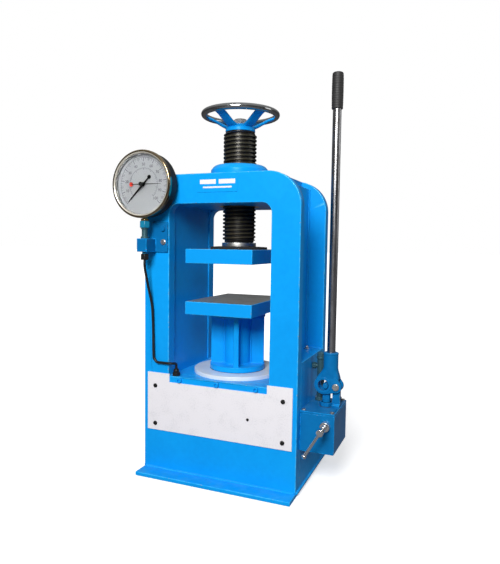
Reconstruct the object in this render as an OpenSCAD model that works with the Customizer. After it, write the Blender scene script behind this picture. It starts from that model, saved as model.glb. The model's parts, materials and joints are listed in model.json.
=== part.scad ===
// Hand-pumped hydraulic compression press: a portal frame with a screw-set upper platen,
// a ram-lifted lower platen, a dial gauge and a lever pump on the right side.
// Millimetres, +Z up, -Y front. The origin is on the screw axis at the underside of the base.

/* [Frame] */
// Width of the frame across the portal plates
frame_w = 500; // [440:5:620]
// Depth of the frame over the portal plates
frame_d = 310; // [280:5:380]
// Height of the portal plates' top edge above the floor
frame_h = 923; // [880:1:1150]
// Thickness of each portal plate
plate_t = 34; // [25:1:40]
// Radius of the portal plates' top corners
corner_r = 100; // [40:5:120]
// Thickness of the base plate
base_t = 12; // [8:1:25]
// How far the base plate stands out in front of and behind the frame
toe = 53; // [20:1:80]
// Width of the window
window_w = 328; // [290:2:380]
// Height of the window's sill, which is also the top of the bolster
window_z0 = 309; // [290:1:380]
// Height of the crosshead between the window's head and the frame's top
head_h = 88; // [70:1:110]
// Radius of the window's top corners
window_r = 30; // [10:1:60]
// Thickness of the webs that join the plates
web_t = 25; // [12:1:40]
// How far the webs stand back from the window's edges
web_back = 4; // [0:1:15]
// Height of the closed lower side boxes
side_top = 382; // [330:1:480]
// Thickness of the side boxes' sheet
side_t = 12; // [6:1:16]
// Height of the bolster block
bolster_h = 129; // [110:1:170]

/* [Screw and wheel] */
// Outer diameter of the screw
screw_d = 104; // [70:1:110]
// Pitch of the screw
screw_pitch = 12; // [8:1:16]
// Depth of the thread
thread_h = 6; // [3:0.5:7]
// Height of thread that shows above the nut housing
screw_out = 104; // [90:1:160]
// Wall of the bronze nut
nut_wall = 12; // [8:1:16]
// Wall of the nut housing
housing_wall = 27; // [15:1:35]
// Height of the nut housing above the frame
housing_h = 39; // [20:1:60]
// Outer diameter of the handwheel
wheel_d = 246; // [200:2:300]
// Diameter of the handwheel's rim section
rim_d = 19; // [14:1:26]
// Height of the rim's centre above the top of the thread
rim_rise = 54; // [40:1:70]
// Number of spokes
spokes = 5; // [3:1:6]
// Diameter of the handwheel's hub
hub_d = 94; // [70:2:110]
// Width of the handwheel's spokes
arm_w = 33; // [18:1:34]

/* [Platens] */
// Width of both platens
platen_w = 216; // [190:2:230]
// Depth of both platens
platen_d = 310; // [240:2:340]
// Thickness of the upper platen
upper_t = 43; // [30:1:60]
// Thickness of the lower platen
lower_t = 39; // [30:1:60]
// Clear height between the platens at rest
daylight = 115; // [105:1:140]
// Radius of the spherical seat
seat_r = 60; // [55:1:75]
// Height of the seat cup
cup_h = 17; // [15:0.5:24]
// Gap between the upper platen and the seat cup
cup_gap = 4; // [4:0.5:6]
// Diameter of the seat cup
cup_d = 108; // [96:1:120]
// Thickness of the seat's liner
liner_t = 3; // [2:0.5:4]
// Height of the spacer between the ram and the lower platen
spacer_h = 183; // [150:1:210]
// Diameter of the spacer's flanges
spacer_d = 176; // [150:2:200]
// Diameter of the spacer's core
spacer_core_d = 84; // [60:2:110]
// Thickness of the spacer's ribs
rib_t = 16; // [8:1:24]
// Turn of the spacer's ribs about the ram
rib_turn = 20; // [0:1:89]

/* [Ram and cylinder] */
// Diameter of the ram
ram_d = 160; // [140:1:180]
// Wall of the cylinder
cyl_wall = 28; // [18:1:32]
// Thickness of the cylinder's floor
cyl_floor = 25; // [20:1:40]
// Diameter of the gland ring on the bolster
gland_d = 276; // [250:2:300]
// Thickness of the gland ring
gland_t = 12; // [8:1:16]

/* [Front panel] */
// Width of frame left bare at each side of the front panel
panel_margin = 13; // [6:1:40]
// Height of the panel's lower edge
panel_z0 = 135; // [60:1:160]
// Height of the panel's ears above the window's sill
panel_ear = 7; // [0:1:15]
// Drop of the panel's notch below the window's sill
panel_notch = 19; // [14:1:40]
// How much narrower the panel's notch is than the window
notch_less = 8; // [0:1:60]
// Thickness of the panel
panel_t = 3; // [1.5:0.5:4]

/* [Gauge] */
// Diameter of the gauge over its bezel
gauge_d = 200; // [160:2:220]
// Depth of the gauge
gauge_t = 57; // [45:1:70]
// Distance of the gauge's centre in from the frame's left side
gauge_inset = 26; // [10:1:50]
// Height of the gauge's centre above the gauge fitting's foot
gauge_rise = 224; // [205:1:240]
// Height of the gauge fitting's foot
fitting_z = 666; // [620:1:720]
// Gap between the gauge and the frame
gauge_gap = 8; // [6:1:20]
// Diameter of the pressure tube
tube_d = 8; // [6:0.5:10]

/* [Pump] */
// Width of the pump tank
tank_w = 100; // [90:1:120]
// Depth of the pump tank
tank_d = 160; // [150:1:200]
// Height of the pump tank without its cover
tank_h = 111; // [90:1:140]
// Height of the tank's underside above the floor
tank_z = 130; // [60:1:180]
// How far the tank's front stands behind the frame's front
tank_back = 27; // [10:1:60]
// Wall of the tank
tank_wall = 6; // [4:0.5:8]
// Diameter of the pump plunger
plunger_d = 24; // [18:1:26]
// Distance from the fulcrum to the plunger
arm = 30; // [28:0.5:32]
// Height of the fulcrum above the tank's cover
fulcrum_h = 61; // [56:1:80]
// Length of the lever from its fulcrum to its end
lever_l = 895; // [600:5:1000]
// Diameter of the lever tube
lever_d = 24.6; // [20:0.2:26]
// Diameter of the grip
grip_d = 33; // [28:1:40]
// Length of the grip
grip_l = 101; // [80:1:140]
// Length of the release valve's tommy bar between its ball centres
tommy_l = 102; // [80:1:120]
// Lean of the tommy bar from upright
tommy_lean = 30.7; // [0:0.1:60]

/* [Fits] */
// Radial clearance of a running fit
fit = 0.05; // [0.02:0.01:0.1]
// Radial clearance of a bolt in its hole
bolt_gap = 0.3; // [0.2:0.1:0.6]
// Gap between parts that move past each other
gap = 0.4; // [0.3:0.1:1]

/* [Hidden] */
$fn = 96;
e = 1;
front = -frame_d / 2;
in_d = frame_d - 2 * plate_t;
side = frame_w / 2;
window_z1 = frame_h - head_h;
web_in = window_w / 2 + web_back;
web_out = web_in + web_t;

// Heights along the load path, from the ram up to the handwheel
ram_top = window_z0 + gland_t;
lower_z = ram_top + spacer_h;
lower_top = lower_z + lower_t;
upper_z = lower_top + daylight;
upper_top = upper_z + upper_t;
cup_z = upper_top + cup_gap;
screw_z = cup_z + cup_h;
screw_top = frame_h + housing_h + screw_out;
screw_l = screw_top - screw_z;
rim_z = screw_top + rim_rise;
rim_r = (wheel_d - rim_d) / 2;
dome_r = seat_r - liner_t;
nut_r = screw_d / 2 + nut_wall;
stud_r = 8;
stud_gap = 5.5;
hub_t = 22;
spigot_r = 20;

// Cylinder
cyl_r = ram_d / 2 + cyl_wall;
cyl_lip = 8;
cyl_z = window_z0 - bolster_h - 24;
seal_t = 7;
wiper_t = 6;

// Gauge, along its own axis from the back of the case to the bezel
gauge_r = gauge_d / 2;
gauge_x = -side + gauge_inset;
gauge_z = fitting_z + gauge_rise;
case_y1 = front - gauge_gap;
case_y0 = case_y1 - gauge_t + 7;
bezel_y0 = case_y1 - gauge_t;
bezel_y1 = bezel_y0 + 16;
glass_y0 = bezel_y0 + 5;
glass_t = 3;
case_r = gauge_r - 4;
dial_y0 = glass_y0 + glass_t + 10;
dial_t = 1.5;
dial_r = gauge_r - 10;
stem_y = front - 40;
zero_turn = -135;
max_turn = 225;

// Pump, about the fulcrum
tank_y0 = front + tank_back;
tank_y1 = tank_y0 + tank_d;
tank_x1 = side + tank_w;
tank_top = tank_z + tank_h;
cover_t = 6;
cover_z = tank_top + cover_t;
pump_y = (tank_y0 + tank_y1) / 2;
fulcrum_x = tank_x1 - 13;
fulcrum_z = cover_z + fulcrum_h;
pump_x = fulcrum_x - arm;
lever_x = fulcrum_x - 19;
lever_top = fulcrum_z + lever_l;
cheek_gap = 16;
cheek_t = 10;
fulcrum_pin_r = 7;
plunger_pin_r = 7;
head_r = plunger_pin_r + 2.5;
eye_r = 27;
eye_hole_r = 16;
eye_x = fulcrum_x - arm - 6.2;
eye_z = fulcrum_z + 3;
socket_r = lever_d / 2 + 9;
socket_z0 = fulcrum_z + 22;
socket_z1 = fulcrum_z + 98;
pump_wall = 8;
neck_r = plunger_d / 2 + 3;
gland_nut_t = 12;
gland_nut_r = plunger_d / 2 + 9.2;
post_x0 = max(fulcrum_x - 11, pump_x + gland_nut_r * cos(30) + gap);
valve_x = tank_x1 - 25;
valve_z = tank_z + 82;
spindle_r = 7;
knuckle_r = 10;
knuckle_y = tank_y0 - 57;
tommy_r = 4;
ball_r = 6.5;
column_x = side + 26;
column_y = tank_y1 - 32;

blue = [0.05, 0.55, 0.93];
steel = [0.78, 0.79, 0.80];
black = [0.08, 0.08, 0.09];

// A solid cylinder along Y from y0 to y1, centred at x, z
module bar_y(x, z, r, y0, y1, sides = 96) {
    translate([x, y1, z])
        rotate([90, 0, 0])
            cylinder(r = r, h = y1 - y0, $fn = sides);
}

// A block from one corner to the other
module block(a, b) {
    translate(a)
        cube(b - a);
}

// The portal's outer outline in X and Z
module portal_outline() {
    translate([-side, base_t])
        square([frame_w, frame_h - base_t - corner_r]);
    translate([-side + corner_r, base_t])
        square([frame_w - 2 * corner_r, frame_h - base_t]);
    for (s = [-1, 1])
        translate([s * (side - corner_r), frame_h - corner_r])
            circle(r = corner_r);
}

// The window's outline in X and Z
module window_outline() {
    translate([-window_w / 2, window_z0])
        square([window_w, window_z1 - window_z0 - window_r]);
    translate([-window_w / 2 + window_r, window_z0])
        square([window_w - 2 * window_r, window_z1 - window_z0]);
    for (s = [-1, 1])
        translate([s * (window_w / 2 - window_r), window_z1 - window_r])
            circle(r = window_r);
}

// Upright plate from y0 to y1 made from an outline in X and Z
module upright(y0, y1) {
    translate([0, y1, 0])
        rotate([90, 0, 0])
            linear_extrude(height = y1 - y0)
                children();
}

// Places of the bolts that hold the bolster to the front plate
bolt_pts = [for (x = [-1, 0, 1]) [x * (window_w / 2 - 39), window_z0 - 9.5]];
bolt_r = 5;
bolt_head_r = 8;
bolt_head_t = 8;
bolt_in = plate_t + 30;

panel_w = frame_w - 2 * panel_margin;
notch_w = window_w - notch_less;

// Places of the panel's screws
screw_pts = [for (x = [-1, 1], z = [panel_z0 + 21, window_z0 - 34]) [x * (panel_w / 2 - 28), z]];
panel_pts = concat(screw_pts, [[102, panel_z0 + 74]]);
panel_screw_r = 2.5;

// Places of the gauge bracket's bolts
bracket_x0 = gauge_x + 4;
bracket_w = 54;
bracket_z0 = fitting_z + 24;
bracket_h = 92;
bracket_pts = [[bracket_x0 + 40, bracket_z0 + 30], [bracket_x0 + 40, bracket_z0 + 70]];

module base_plate() {
    color(blue)
        block([-side, front - toe, 0], [side, -front + toe, base_t]);
}

module front_plate() {
    color(blue)
        difference() {
            upright(front, front + plate_t)
                difference() {
                    portal_outline();
                    window_outline();
                }
            for (p = bolt_pts)
                bar_y(p[0], p[1], bolt_r + bolt_gap, front - e, front + plate_t + e);
            for (p = panel_pts)
                bar_y(p[0], p[1], panel_screw_r, front - e, front + 12);
            for (p = bracket_pts)
                bar_y(p[0], p[1], 4, front - e, front + 14);
        }
}

module rear_plate() {
    color(blue)
        upright(-front - plate_t, -front)
            difference() {
                portal_outline();
                window_outline();
            }
}

// One web; s is -1 for the left and 1 for the right
module web(s) {
    color(blue)
        intersection() {
            block([min(s * web_in, s * web_out), -in_d / 2, base_t],
                [max(s * web_in, s * web_out), in_d / 2, frame_h - 25]);
            upright(-in_d / 2, in_d / 2)
                portal_outline();
        }
}

module left_web() {
    web(-1);
}

module right_web() {
    web(1);
}

// Lower side box: an outer sheet with a shelf on top
module side_box() {
    block([side - side_t, -in_d / 2, base_t], [side, in_d / 2, side_top]);
    block([web_out, -in_d / 2, side_top - side_t], [side - side_t + e, in_d / 2, side_top]);
}

module left_side_box() {
    color(blue)
        mirror([1, 0, 0])
            side_box();
}

module right_side_box() {
    color(blue)
        difference() {
            side_box();
            translate([side - side_t - e, column_y, side_top - 30])
                rotate([0, 90, 0])
                    cylinder(r = 6 + bolt_gap, h = side_t + 2 * e);
        }
}

module crosshead() {
    color(blue)
        difference() {
            intersection() {
                block([-web_in, -in_d / 2, window_z1], [web_in, in_d / 2, frame_h]);
                upright(-in_d / 2, in_d / 2)
                    portal_outline();
            }
            translate([0, 0, window_z1 - e])
                cylinder(r = nut_r, h = frame_h - window_z1 + 2 * e);
        }
}

module bolster() {
    color(blue)
        difference() {
            block([-web_in, -in_d / 2, window_z0 - bolster_h], [web_in, in_d / 2, window_z0]);
            translate([0, 0, window_z0 - bolster_h - e])
                cylinder(r = cyl_r, h = bolster_h + 2 * e);
            translate([0, 0, window_z0 - 20])
                cylinder(r = cyl_r + cyl_lip, h = 20 + e);
            for (p = bolt_pts)
                if (abs(p[0]) > cyl_r + cyl_lip)
                    bar_y(p[0], p[1], bolt_r + bolt_gap, front, front + bolt_in + 2);
        }
}

module bolster_bolts() {
    color(black)
        for (p = bolt_pts)
            difference() {
                union() {
                    bar_y(p[0], p[1], bolt_head_r, front - bolt_head_t, front);
                    bar_y(p[0], p[1], bolt_r, front - e,
                        front + (abs(p[0]) > cyl_r + cyl_lip ? bolt_in : plate_t));
                }
                bar_y(p[0], p[1], 4.6, front - bolt_head_t - e, front - 3, 6);
            }
}

module ram_cylinder() {
    color(steel)
        difference() {
            union() {
                translate([0, 0, cyl_z])
                    cylinder(r = cyl_r, h = window_z0 - cyl_z);
                translate([0, 0, window_z0 - 20])
                    cylinder(r = cyl_r + cyl_lip, h = 20);
            }
            translate([0, 0, cyl_z + cyl_floor])
                cylinder(r = ram_d / 2 + fit, h = window_z0);
            translate([0, 0, window_z0 - 30])
                cylinder(r = ram_d / 2 + seal_t, h = 12);
        }
}

module gland_ring() {
    color(steel)
        difference() {
            translate([0, 0, window_z0])
                cylinder(r = gland_d / 2, h = gland_t);
            translate([0, 0, window_z0 - e])
                cylinder(r = ram_d / 2 + fit, h = gland_t + 2 * e);
            translate([0, 0, ram_top - wiper_t])
                cylinder(r = ram_d / 2 + 8, h = wiper_t + e);
        }
}

// The wiper in the gland ring and the pressure seal in the cylinder
module ram_seals() {
    color(black)
        for (c = [[ram_top - wiper_t, wiper_t - gap, 8], [window_z0 - 30, 12, seal_t]])
            translate([0, 0, c[0]])
                difference() {
                    cylinder(r = ram_d / 2 + c[2], h = c[1]);
                    translate([0, 0, -e])
                        cylinder(r = ram_d / 2 + fit, h = c[1] + 2 * e);
                }
}

module ram() {
    color(steel)
        difference() {
            translate([0, 0, cyl_z + cyl_floor])
                cylinder(r = ram_d / 2, h = ram_top - cyl_z - cyl_floor);
            translate([0, 0, cyl_z + cyl_floor - e])
                cylinder(r = ram_d / 2 - 20, h = 31);
        }
}

module spacer() {
    flange_t = 16;
    color(blue) {
        for (z = [ram_top, lower_z - flange_t])
            translate([0, 0, z])
                cylinder(r = spacer_d / 2, h = flange_t);
        translate([0, 0, ram_top + e])
            cylinder(r = spacer_core_d / 2, h = spacer_h - 2 * e);
        intersection() {
            for (a = [0, 90])
                rotate([0, 0, a + rib_turn])
                    translate([-spacer_d / 2, -rib_t / 2, ram_top + flange_t - e])
                        cube([spacer_d, rib_t, spacer_h - 2 * flange_t + 2 * e]);
            translate([0, 0, ram_top])
                cylinder(r = spacer_d / 2 - 3, h = spacer_h);
        }
    }
}

module lower_platen() {
    color(blue)
        block([-platen_w / 2, -platen_d / 2, lower_z], [platen_w / 2, platen_d / 2, lower_top]);
}

module screw_nut() {
    color([0.72, 0.53, 0.25])
        difference() {
            translate([0, 0, window_z1])
                cylinder(r = nut_r, h = frame_h + housing_h - window_z1);
            translate([0, 0, window_z1 - e])
                cylinder(r = screw_d / 2 + fit, h = frame_h);
        }
}

module nut_housing() {
    color(blue)
        difference() {
            translate([0, 0, frame_h])
                cylinder(r = nut_r + housing_wall, h = housing_h);
            translate([0, 0, frame_h - e])
                cylinder(r = nut_r, h = housing_h + 2 * e);
        }
}

// The thread is a row of trapezoidal ridges between two plain collars
module screw() {
    turns = floor((screw_l - 16) / screw_pitch);
    r = screw_d / 2;
    root = r - thread_h;
    z0 = screw_z + (screw_l - turns * screw_pitch) / 2;
    ridges = [for (i = [0 : turns - 1], c = [[0, 0.12], [1, 0.32], [1, 0.68], [0, 0.88]])
        [root + c[0] * thread_h, z0 + (i + c[1]) * screw_pitch]];
    color(black)
        difference() {
            union() {
                rotate_extrude()
                    polygon(concat([[0, screw_z], [root, screw_z]], ridges,
                        [[root, screw_top], [0, screw_top]]));
                translate([0, 0, screw_top - e])
                    cylinder(r = spigot_r, h = hub_t + 18 + e);
            }
            translate([0, 0, screw_z - e])
                cylinder(r = 28, h = 36);
        }
}

// One handwheel arm, rising from the hub to the rim
module wheel_arm() {
    hull() {
        translate([hub_d / 2 - arm_w / 2, 0, screw_top + 4])
            cylinder(r = arm_w / 2, h = 12, $fn = 32);
        translate([rim_r - 4, 0, rim_z - 7])
            cylinder(r = arm_w / 2, h = 9, $fn = 32);
    }
}

module wheel_rim(r) {
    translate([0, 0, rim_z])
        rotate_extrude()
            translate([rim_r, 0])
                circle(r = r, $fn = 48);
}

module handwheel_hub() {
    color(blue)
        difference() {
            union() {
                translate([0, 0, screw_top])
                    cylinder(r1 = hub_d / 2, r2 = hub_d / 2 - 7, h = hub_t);
                for (i = [0 : spokes - 1])
                    rotate([0, 0, 112 + i * 360 / spokes])
                        wheel_arm();
            }
            translate([0, 0, screw_top - e])
                cylinder(r = spigot_r, h = hub_t + 2 * e);
            wheel_rim(rim_d / 2);
            translate([0, 0, rim_z - 20])
                difference() {
                    cylinder(r = rim_r + 60, h = 40);
                    translate([0, 0, -e])
                        cylinder(r = rim_r, h = 40 + 2 * e);
                }
        }
}

module handwheel_rim() {
    color(steel)
        wheel_rim(rim_d / 2);
}

module wheel_nut() {
    color(steel)
        difference() {
            union() {
                translate([0, 0, screw_top + hub_t])
                    cylinder(r = 27, h = 3);
                translate([0, 0, screw_top + hub_t + 3])
                    cylinder(r = 26, h = 12, $fn = 6);
            }
            translate([0, 0, screw_top])
                cylinder(r = spigot_r, h = 60);
        }
}

// Everything in the seat turns about the centre of the upper platen's lower face
module seat_ball(r) {
    translate([0, 0, upper_z])
        sphere(r = r);
}

module seat_cup() {
    color(steel)
        difference() {
            translate([0, 0, cup_z])
                cylinder(r = cup_d / 2, h = cup_h - gap);
            seat_ball(seat_r + fit);
            translate([0, 0, cup_z])
                cylinder(r = stud_r + stud_gap, h = cup_h + e);
        }
}

module seat_liner() {
    color([0.72, 0.53, 0.25])
        difference() {
            intersection() {
                seat_ball(seat_r);
                translate([0, 0, upper_top + 5])
                    cylinder(r = 34, h = 40);
            }
            seat_ball(dome_r + fit);
            translate([0, 0, upper_top])
                cylinder(r = stud_r + stud_gap, h = 60);
        }
}

module seat_dome() {
    color(steel)
        intersection() {
            seat_ball(dome_r);
            difference() {
                translate([0, 0, upper_top])
                    cylinder(r = 36, h = 60);
                translate([0, 0, upper_z + dome_r - 8])
                    cylinder(r = stud_r, h = 60);
            }
        }
}

module platen_stud() {
    color(steel) {
        translate([0, 0, upper_z + dome_r - 8])
            cylinder(r = stud_r, h = screw_z + 14 - upper_z - dome_r + 8);
        translate([0, 0, screw_z + 3])
            cylinder(r = 16, h = 11, $fn = 6);
    }
}

module upper_platen() {
    color(blue)
        block([-platen_w / 2, -platen_d / 2, upper_z], [platen_w / 2, platen_d / 2, upper_top]);
}

module front_panel() {
    w = panel_w / 2;
    color([0.93, 0.94, 0.95])
        difference() {
            upright(front - panel_t, front)
                difference() {
                    translate([-w, panel_z0])
                        square([panel_w, window_z0 + panel_ear - panel_z0]);
                    translate([-notch_w / 2, window_z0 - panel_notch])
                        square([notch_w, panel_notch + panel_ear + e]);
                }
            for (p = panel_pts)
                bar_y(p[0], p[1], panel_screw_r + bolt_gap, front - panel_t - e, front + e);
        }
}

module panel_screws() {
    color(steel)
        for (i = [0 : len(panel_pts) - 1]) {
            p = panel_pts[i];
            bar_y(p[0], p[1], panel_screw_r, front - panel_t - e, front + 10);
            bar_y(p[0], p[1], i < 4 ? 6.5 : 4, front - panel_t - 3, front - panel_t);
        }
}

module nameplate() {
    color([0.9, 0.93, 0.96])
        block([-69, front - 1.5, frame_h - 56], [61, front, frame_h - 11]);
}

module gauge_case() {
    color(black)
        difference() {
            bar_y(gauge_x, gauge_z, case_r, case_y0, case_y1);
            bar_y(gauge_x, gauge_z, case_r - 3, case_y0 - e, case_y1 - 3);
            translate([gauge_x, stem_y, gauge_z - gauge_r])
                cylinder(r = 9, h = 30);
        }
}

module gauge_bezel() {
    color([0.16, 0.15, 0.14])
        difference() {
            bar_y(gauge_x, gauge_z, gauge_r, bezel_y0, bezel_y1);
            bar_y(gauge_x, gauge_z, dial_r, bezel_y0 - e, glass_y0);
            bar_y(gauge_x, gauge_z, dial_r + 3, glass_y0, glass_y0 + glass_t);
            bar_y(gauge_x, gauge_z, dial_r, glass_y0, bezel_y1 + e);
            bar_y(gauge_x, gauge_z, case_r, case_y0, bezel_y1 + e);
        }
}

module gauge_glass() {
    color([0.85, 0.9, 0.92, 0.3])
        difference() {
            bar_y(gauge_x, gauge_z, dial_r + 3, glass_y0, glass_y0 + glass_t);
            bar_y(gauge_x, gauge_z, 3 + fit, glass_y0 - e, glass_y0 + glass_t + e);
        }
}

module gauge_dial() {
    color([0.95, 0.95, 0.92])
        difference() {
            bar_y(gauge_x, gauge_z, case_r - 3, dial_y0, dial_y0 + dial_t);
            bar_y(gauge_x, gauge_z, 2 + gap, dial_y0 - e, dial_y0 + dial_t + e);
        }
}

// Bourdon tube, its socket block and the pinion plate behind the dial
module gauge_movement() {
    y0 = dial_y0 + dial_t + 2;
    color([0.75, 0.6, 0.3]) {
        translate([gauge_x, y0 + 8, gauge_z])
            rotate([90, -70, 0])
                rotate_extrude(angle = 250)
                    translate([62, 0])
                        square([5, 12], center = true);
        difference() {
            block([gauge_x - 14, y0, gauge_z - 70], [gauge_x + 14, case_y1 - 3, gauge_z + 14]);
            bar_y(gauge_x, gauge_z, 2 + fit, y0 - e, stem_y + 3);
        }
    }
}

// A pointer along +Z from the gauge's centre, with a disc of radius disc on its tail
module pointer(len, tail, w, disc, y0, y1) {
    upright(y0, y1) {
        polygon([[-w / 3, -tail], [w / 3, -tail], [w / 2, 0], [0.6, len], [-0.6, len], [-w / 2, 0]]);
        translate([0, -tail])
            circle(r = disc, $fn = 48);
    }
}

module load_pointer() {
    y0 = dial_y0 - 3.2;
    color(black) {
        translate([gauge_x, 0, gauge_z])
            rotate([0, zero_turn, 0])
                pointer(72, 30, 6, 6, y0, y0 + 1.2);
        bar_y(gauge_x, gauge_z, 6, y0, y0 + 1.6);
        bar_y(gauge_x, gauge_z, 2, y0, stem_y + 2);
    }
}

module maximum_pointer() {
    y0 = glass_y0 + glass_t + 1.6;
    color([0.75, 0.1, 0.08]) {
        translate([gauge_x, 0, gauge_z])
            rotate([0, zero_turn + max_turn, 0])
                pointer(64, 38, 3.6, 6.5, y0, y0 + 1.2);
        bar_y(gauge_x, gauge_z, 5, y0, y0 + 1.2);
    }
}

module reset_knob() {
    color(black) {
        bar_y(gauge_x, gauge_z, 6, glass_y0 - 5, glass_y0 - gap);
        bar_y(gauge_x, gauge_z, 3, glass_y0 - e, glass_y0 + glass_t + 1.6);
    }
}

module gauge_stem() {
    z0 = gauge_z - gauge_r - 8;
    color([0.8, 0.62, 0.3]) {
        translate([gauge_x, stem_y, z0])
            cylinder(r = 8, h = 12);
        translate([gauge_x, stem_y, z0])
            cylinder(r = 5, h = gauge_z - 70 - z0);
        translate([gauge_x, stem_y, z0])
            cylinder(r = 13, h = 7, $fn = 6);
    }
}

// Adaptor between the gauge and the tube, held by the bracket
module gauge_fitting() {
    z1 = gauge_z - gauge_r - 8;
    color([0.1, 0.5, 0.62])
        difference() {
            translate([gauge_x, stem_y, 0]) {
                translate([0, 0, z1 - 20])
                    cylinder(r = 16, h = 20, $fn = 6);
                translate([0, 0, bracket_z0 + 40])
                    cylinder(r = 9, h = z1 - 20 - bracket_z0 - 40 + e);
                translate([0, 0, bracket_z0 - 6])
                    cylinder(r = 8, h = 47);
            }
            translate([gauge_x, stem_y, 0])
                cylinder(r = 2.5, h = z1 + e);
        }
}

module gauge_bracket() {
    color(blue)
        difference() {
            union() {
                block([bracket_x0, front - 7, bracket_z0],
                    [bracket_x0 + bracket_w, front, bracket_z0 + bracket_h]);
                block([gauge_x - 17, stem_y - 18, bracket_z0],
                    [gauge_x + 17, front, bracket_z0 + 40]);
            }
            translate([gauge_x, stem_y, bracket_z0 - e])
                cylinder(r = 8, h = 40 + 2 * e);
            for (p = bracket_pts)
                bar_y(p[0], p[1], 4, front - 8, front + e);
        }
}

module bracket_bolts() {
    color(steel)
        for (p = bracket_pts) {
            bar_y(p[0], p[1], 4, front - 8, front + 13);
            bar_y(p[0], p[1], 7.5, front - 13, front - 7, 6);
        }
}

// Pressure tube route, from the gauge fitting down the frame and over the sill
tube_y = front - tube_d / 2 - 4;
drop_x = gauge_x + 22;
sill_x = -window_w / 2 + 19;
sill_y = front + 14;
tube_pts = [
    [gauge_x, stem_y, bracket_z0 - 20],
    [gauge_x, stem_y, bracket_z0 - 46],
    [gauge_x + 2, stem_y + 14, bracket_z0 - 100],
    [gauge_x + 7, tube_y, bracket_z0 - 180],
    [gauge_x + 11, tube_y, window_z0 + 66],
    [gauge_x + 14, tube_y, window_z0 + 52],
    [drop_x, tube_y, window_z0 + 42],
    [drop_x + 12, tube_y, window_z0 + 41],
    [sill_x - 12, tube_y, window_z0 + 41],
    [sill_x, tube_y + 8, window_z0 + 40],
    [sill_x, sill_y - 4, window_z0 + 38],
    [sill_x, sill_y, window_z0 + 34],
    [sill_x, sill_y, window_z0 + 22]];

// Tube of radius r swept along pts, with n sides
module swept_tube(pts, r, n) {
    last = len(pts) - 1;
    dirs = [for (i = [0 : last]) let (d = pts[min(i + 1, last)] - pts[max(i - 1, 0)]) d / norm(d)];
    rings = [for (i = [0 : last]) let (
            u0 = cross(dirs[i], [0.3, 0.95, 0.1]),
            u = u0 / norm(u0),
            v = cross(dirs[i], u))
        for (k = [0 : n - 1]) pts[i] + r * (cos(360 * k / n) * u + sin(360 * k / n) * v)];
    sides = [for (i = [0 : last - 1], k = [0 : n - 1])
        [i * n + k, i * n + (k + 1) % n, (i + 1) * n + (k + 1) % n, (i + 1) * n + k]];
    polyhedron(rings, concat(sides, [[for (k = [0 : n - 1]) n - 1 - k]],
        [[for (k = [0 : n - 1]) last * n + k]]));
}

module pressure_tube() {
    color(black)
        swept_tube(tube_pts, tube_d / 2, 10);
}

module tube_nuts() {
    color(black) {
        difference() {
            translate([gauge_x, stem_y, bracket_z0 - 24])
                cylinder(r = 13, h = 18, $fn = 6);
            translate([gauge_x, stem_y, bracket_z0 - 20 - 5])
                cylinder(r = tube_d / 2, h = 5);
        }
        translate([sill_x, sill_y, window_z0])
            cylinder(r = 13, h = 10, $fn = 6);
        translate([sill_x, sill_y, window_z0 + 10 - e])
            cylinder(r = 9, h = 12 + e);
    }
}

module pump_tank() {
    color(blue)
        difference() {
            block([side, tank_y0, tank_z], [tank_x1, tank_y1, tank_top]);
            block([side + tank_wall, tank_y0 + tank_wall, tank_z + tank_wall],
                [tank_x1 - tank_wall, tank_y1 - tank_wall, tank_top + e]);
            bar_y(valve_x, valve_z, spindle_r + fit, tank_y0 - e, tank_y0 + tank_wall + e);
        }
}

// Places of the tank cover's bolts
cover_pts = [for (x = [side + 9, tank_x1 - 9], y = [tank_y0 + 9, tank_y1 - 9]) [x, y]];

module tank_cover() {
    color(blue)
        difference() {
            block([side, tank_y0, tank_top], [tank_x1, tank_y1, cover_z]);
            translate([pump_x, pump_y, tank_top - e])
                cylinder(r = plunger_d / 2 + pump_wall, h = cover_t + 2 * e);
            translate([column_x + 50, column_y + 8, tank_top - e])
                cylinder(r = 9, h = cover_t + 2 * e);
            for (p = cover_pts)
                translate([p[0], p[1], tank_top - e])
                    cylinder(r = 3, h = cover_t + 2 * e);
        }
}

module cover_bolts() {
    color(steel)
        for (p = cover_pts)
            translate([p[0], p[1], 0]) {
                translate([0, 0, tank_top])
                    cylinder(r = 3, h = cover_t + e);
                translate([0, 0, cover_z])
                    cylinder(r = 6, h = 4.5, $fn = 6);
            }
}

module filler_cap() {
    color(black)
        translate([column_x + 50, column_y + 8, 0]) {
            translate([0, 0, tank_top - 8])
                cylinder(r = 9, h = cover_t + 9);
            translate([0, 0, cover_z])
                cylinder(r = 14, h = 13);
        }
}

module pump_cylinder() {
    color(steel)
        difference() {
            union() {
                translate([pump_x, pump_y, tank_z + tank_wall])
                    cylinder(r = plunger_d / 2 + pump_wall, h = tank_h - tank_wall + cover_t);
                translate([pump_x, pump_y, cover_z - e])
                    cylinder(r = neck_r, h = gland_nut_t + e);
                block([pump_x - 26, pump_y - 26, tank_z + tank_wall],
                    [pump_x + 26, pump_y + 26, tank_z + tank_wall + 18]);
            }
            translate([pump_x, pump_y, tank_z + tank_wall + 14])
                cylinder(r = plunger_d / 2 + fit, h = tank_h + 60);
        }
}

// Delivery valve column, with its pipe into the side box
module delivery_valve() {
    color([0.3, 0.34, 0.3]) {
        translate([column_x, column_y, cover_z])
            cylinder(r = 11, h = side_top - cover_z);
        translate([column_x, column_y, side_top])
            cylinder(r = 12, h = 12, $fn = 6);
        translate([side - side_t, column_y, side_top - 30])
            rotate([0, 90, 0])
                cylinder(r = 6, h = column_x - side + side_t);
    }
}

module gland_nut() {
    color(blue)
        difference() {
            translate([pump_x, pump_y, cover_z])
                rotate([0, 0, 30])
                    cylinder(r = gland_nut_r, h = gland_nut_t, $fn = 6);
            translate([pump_x, pump_y, cover_z - e])
                cylinder(r = neck_r, h = gland_nut_t + 2 * e);
        }
}

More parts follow.
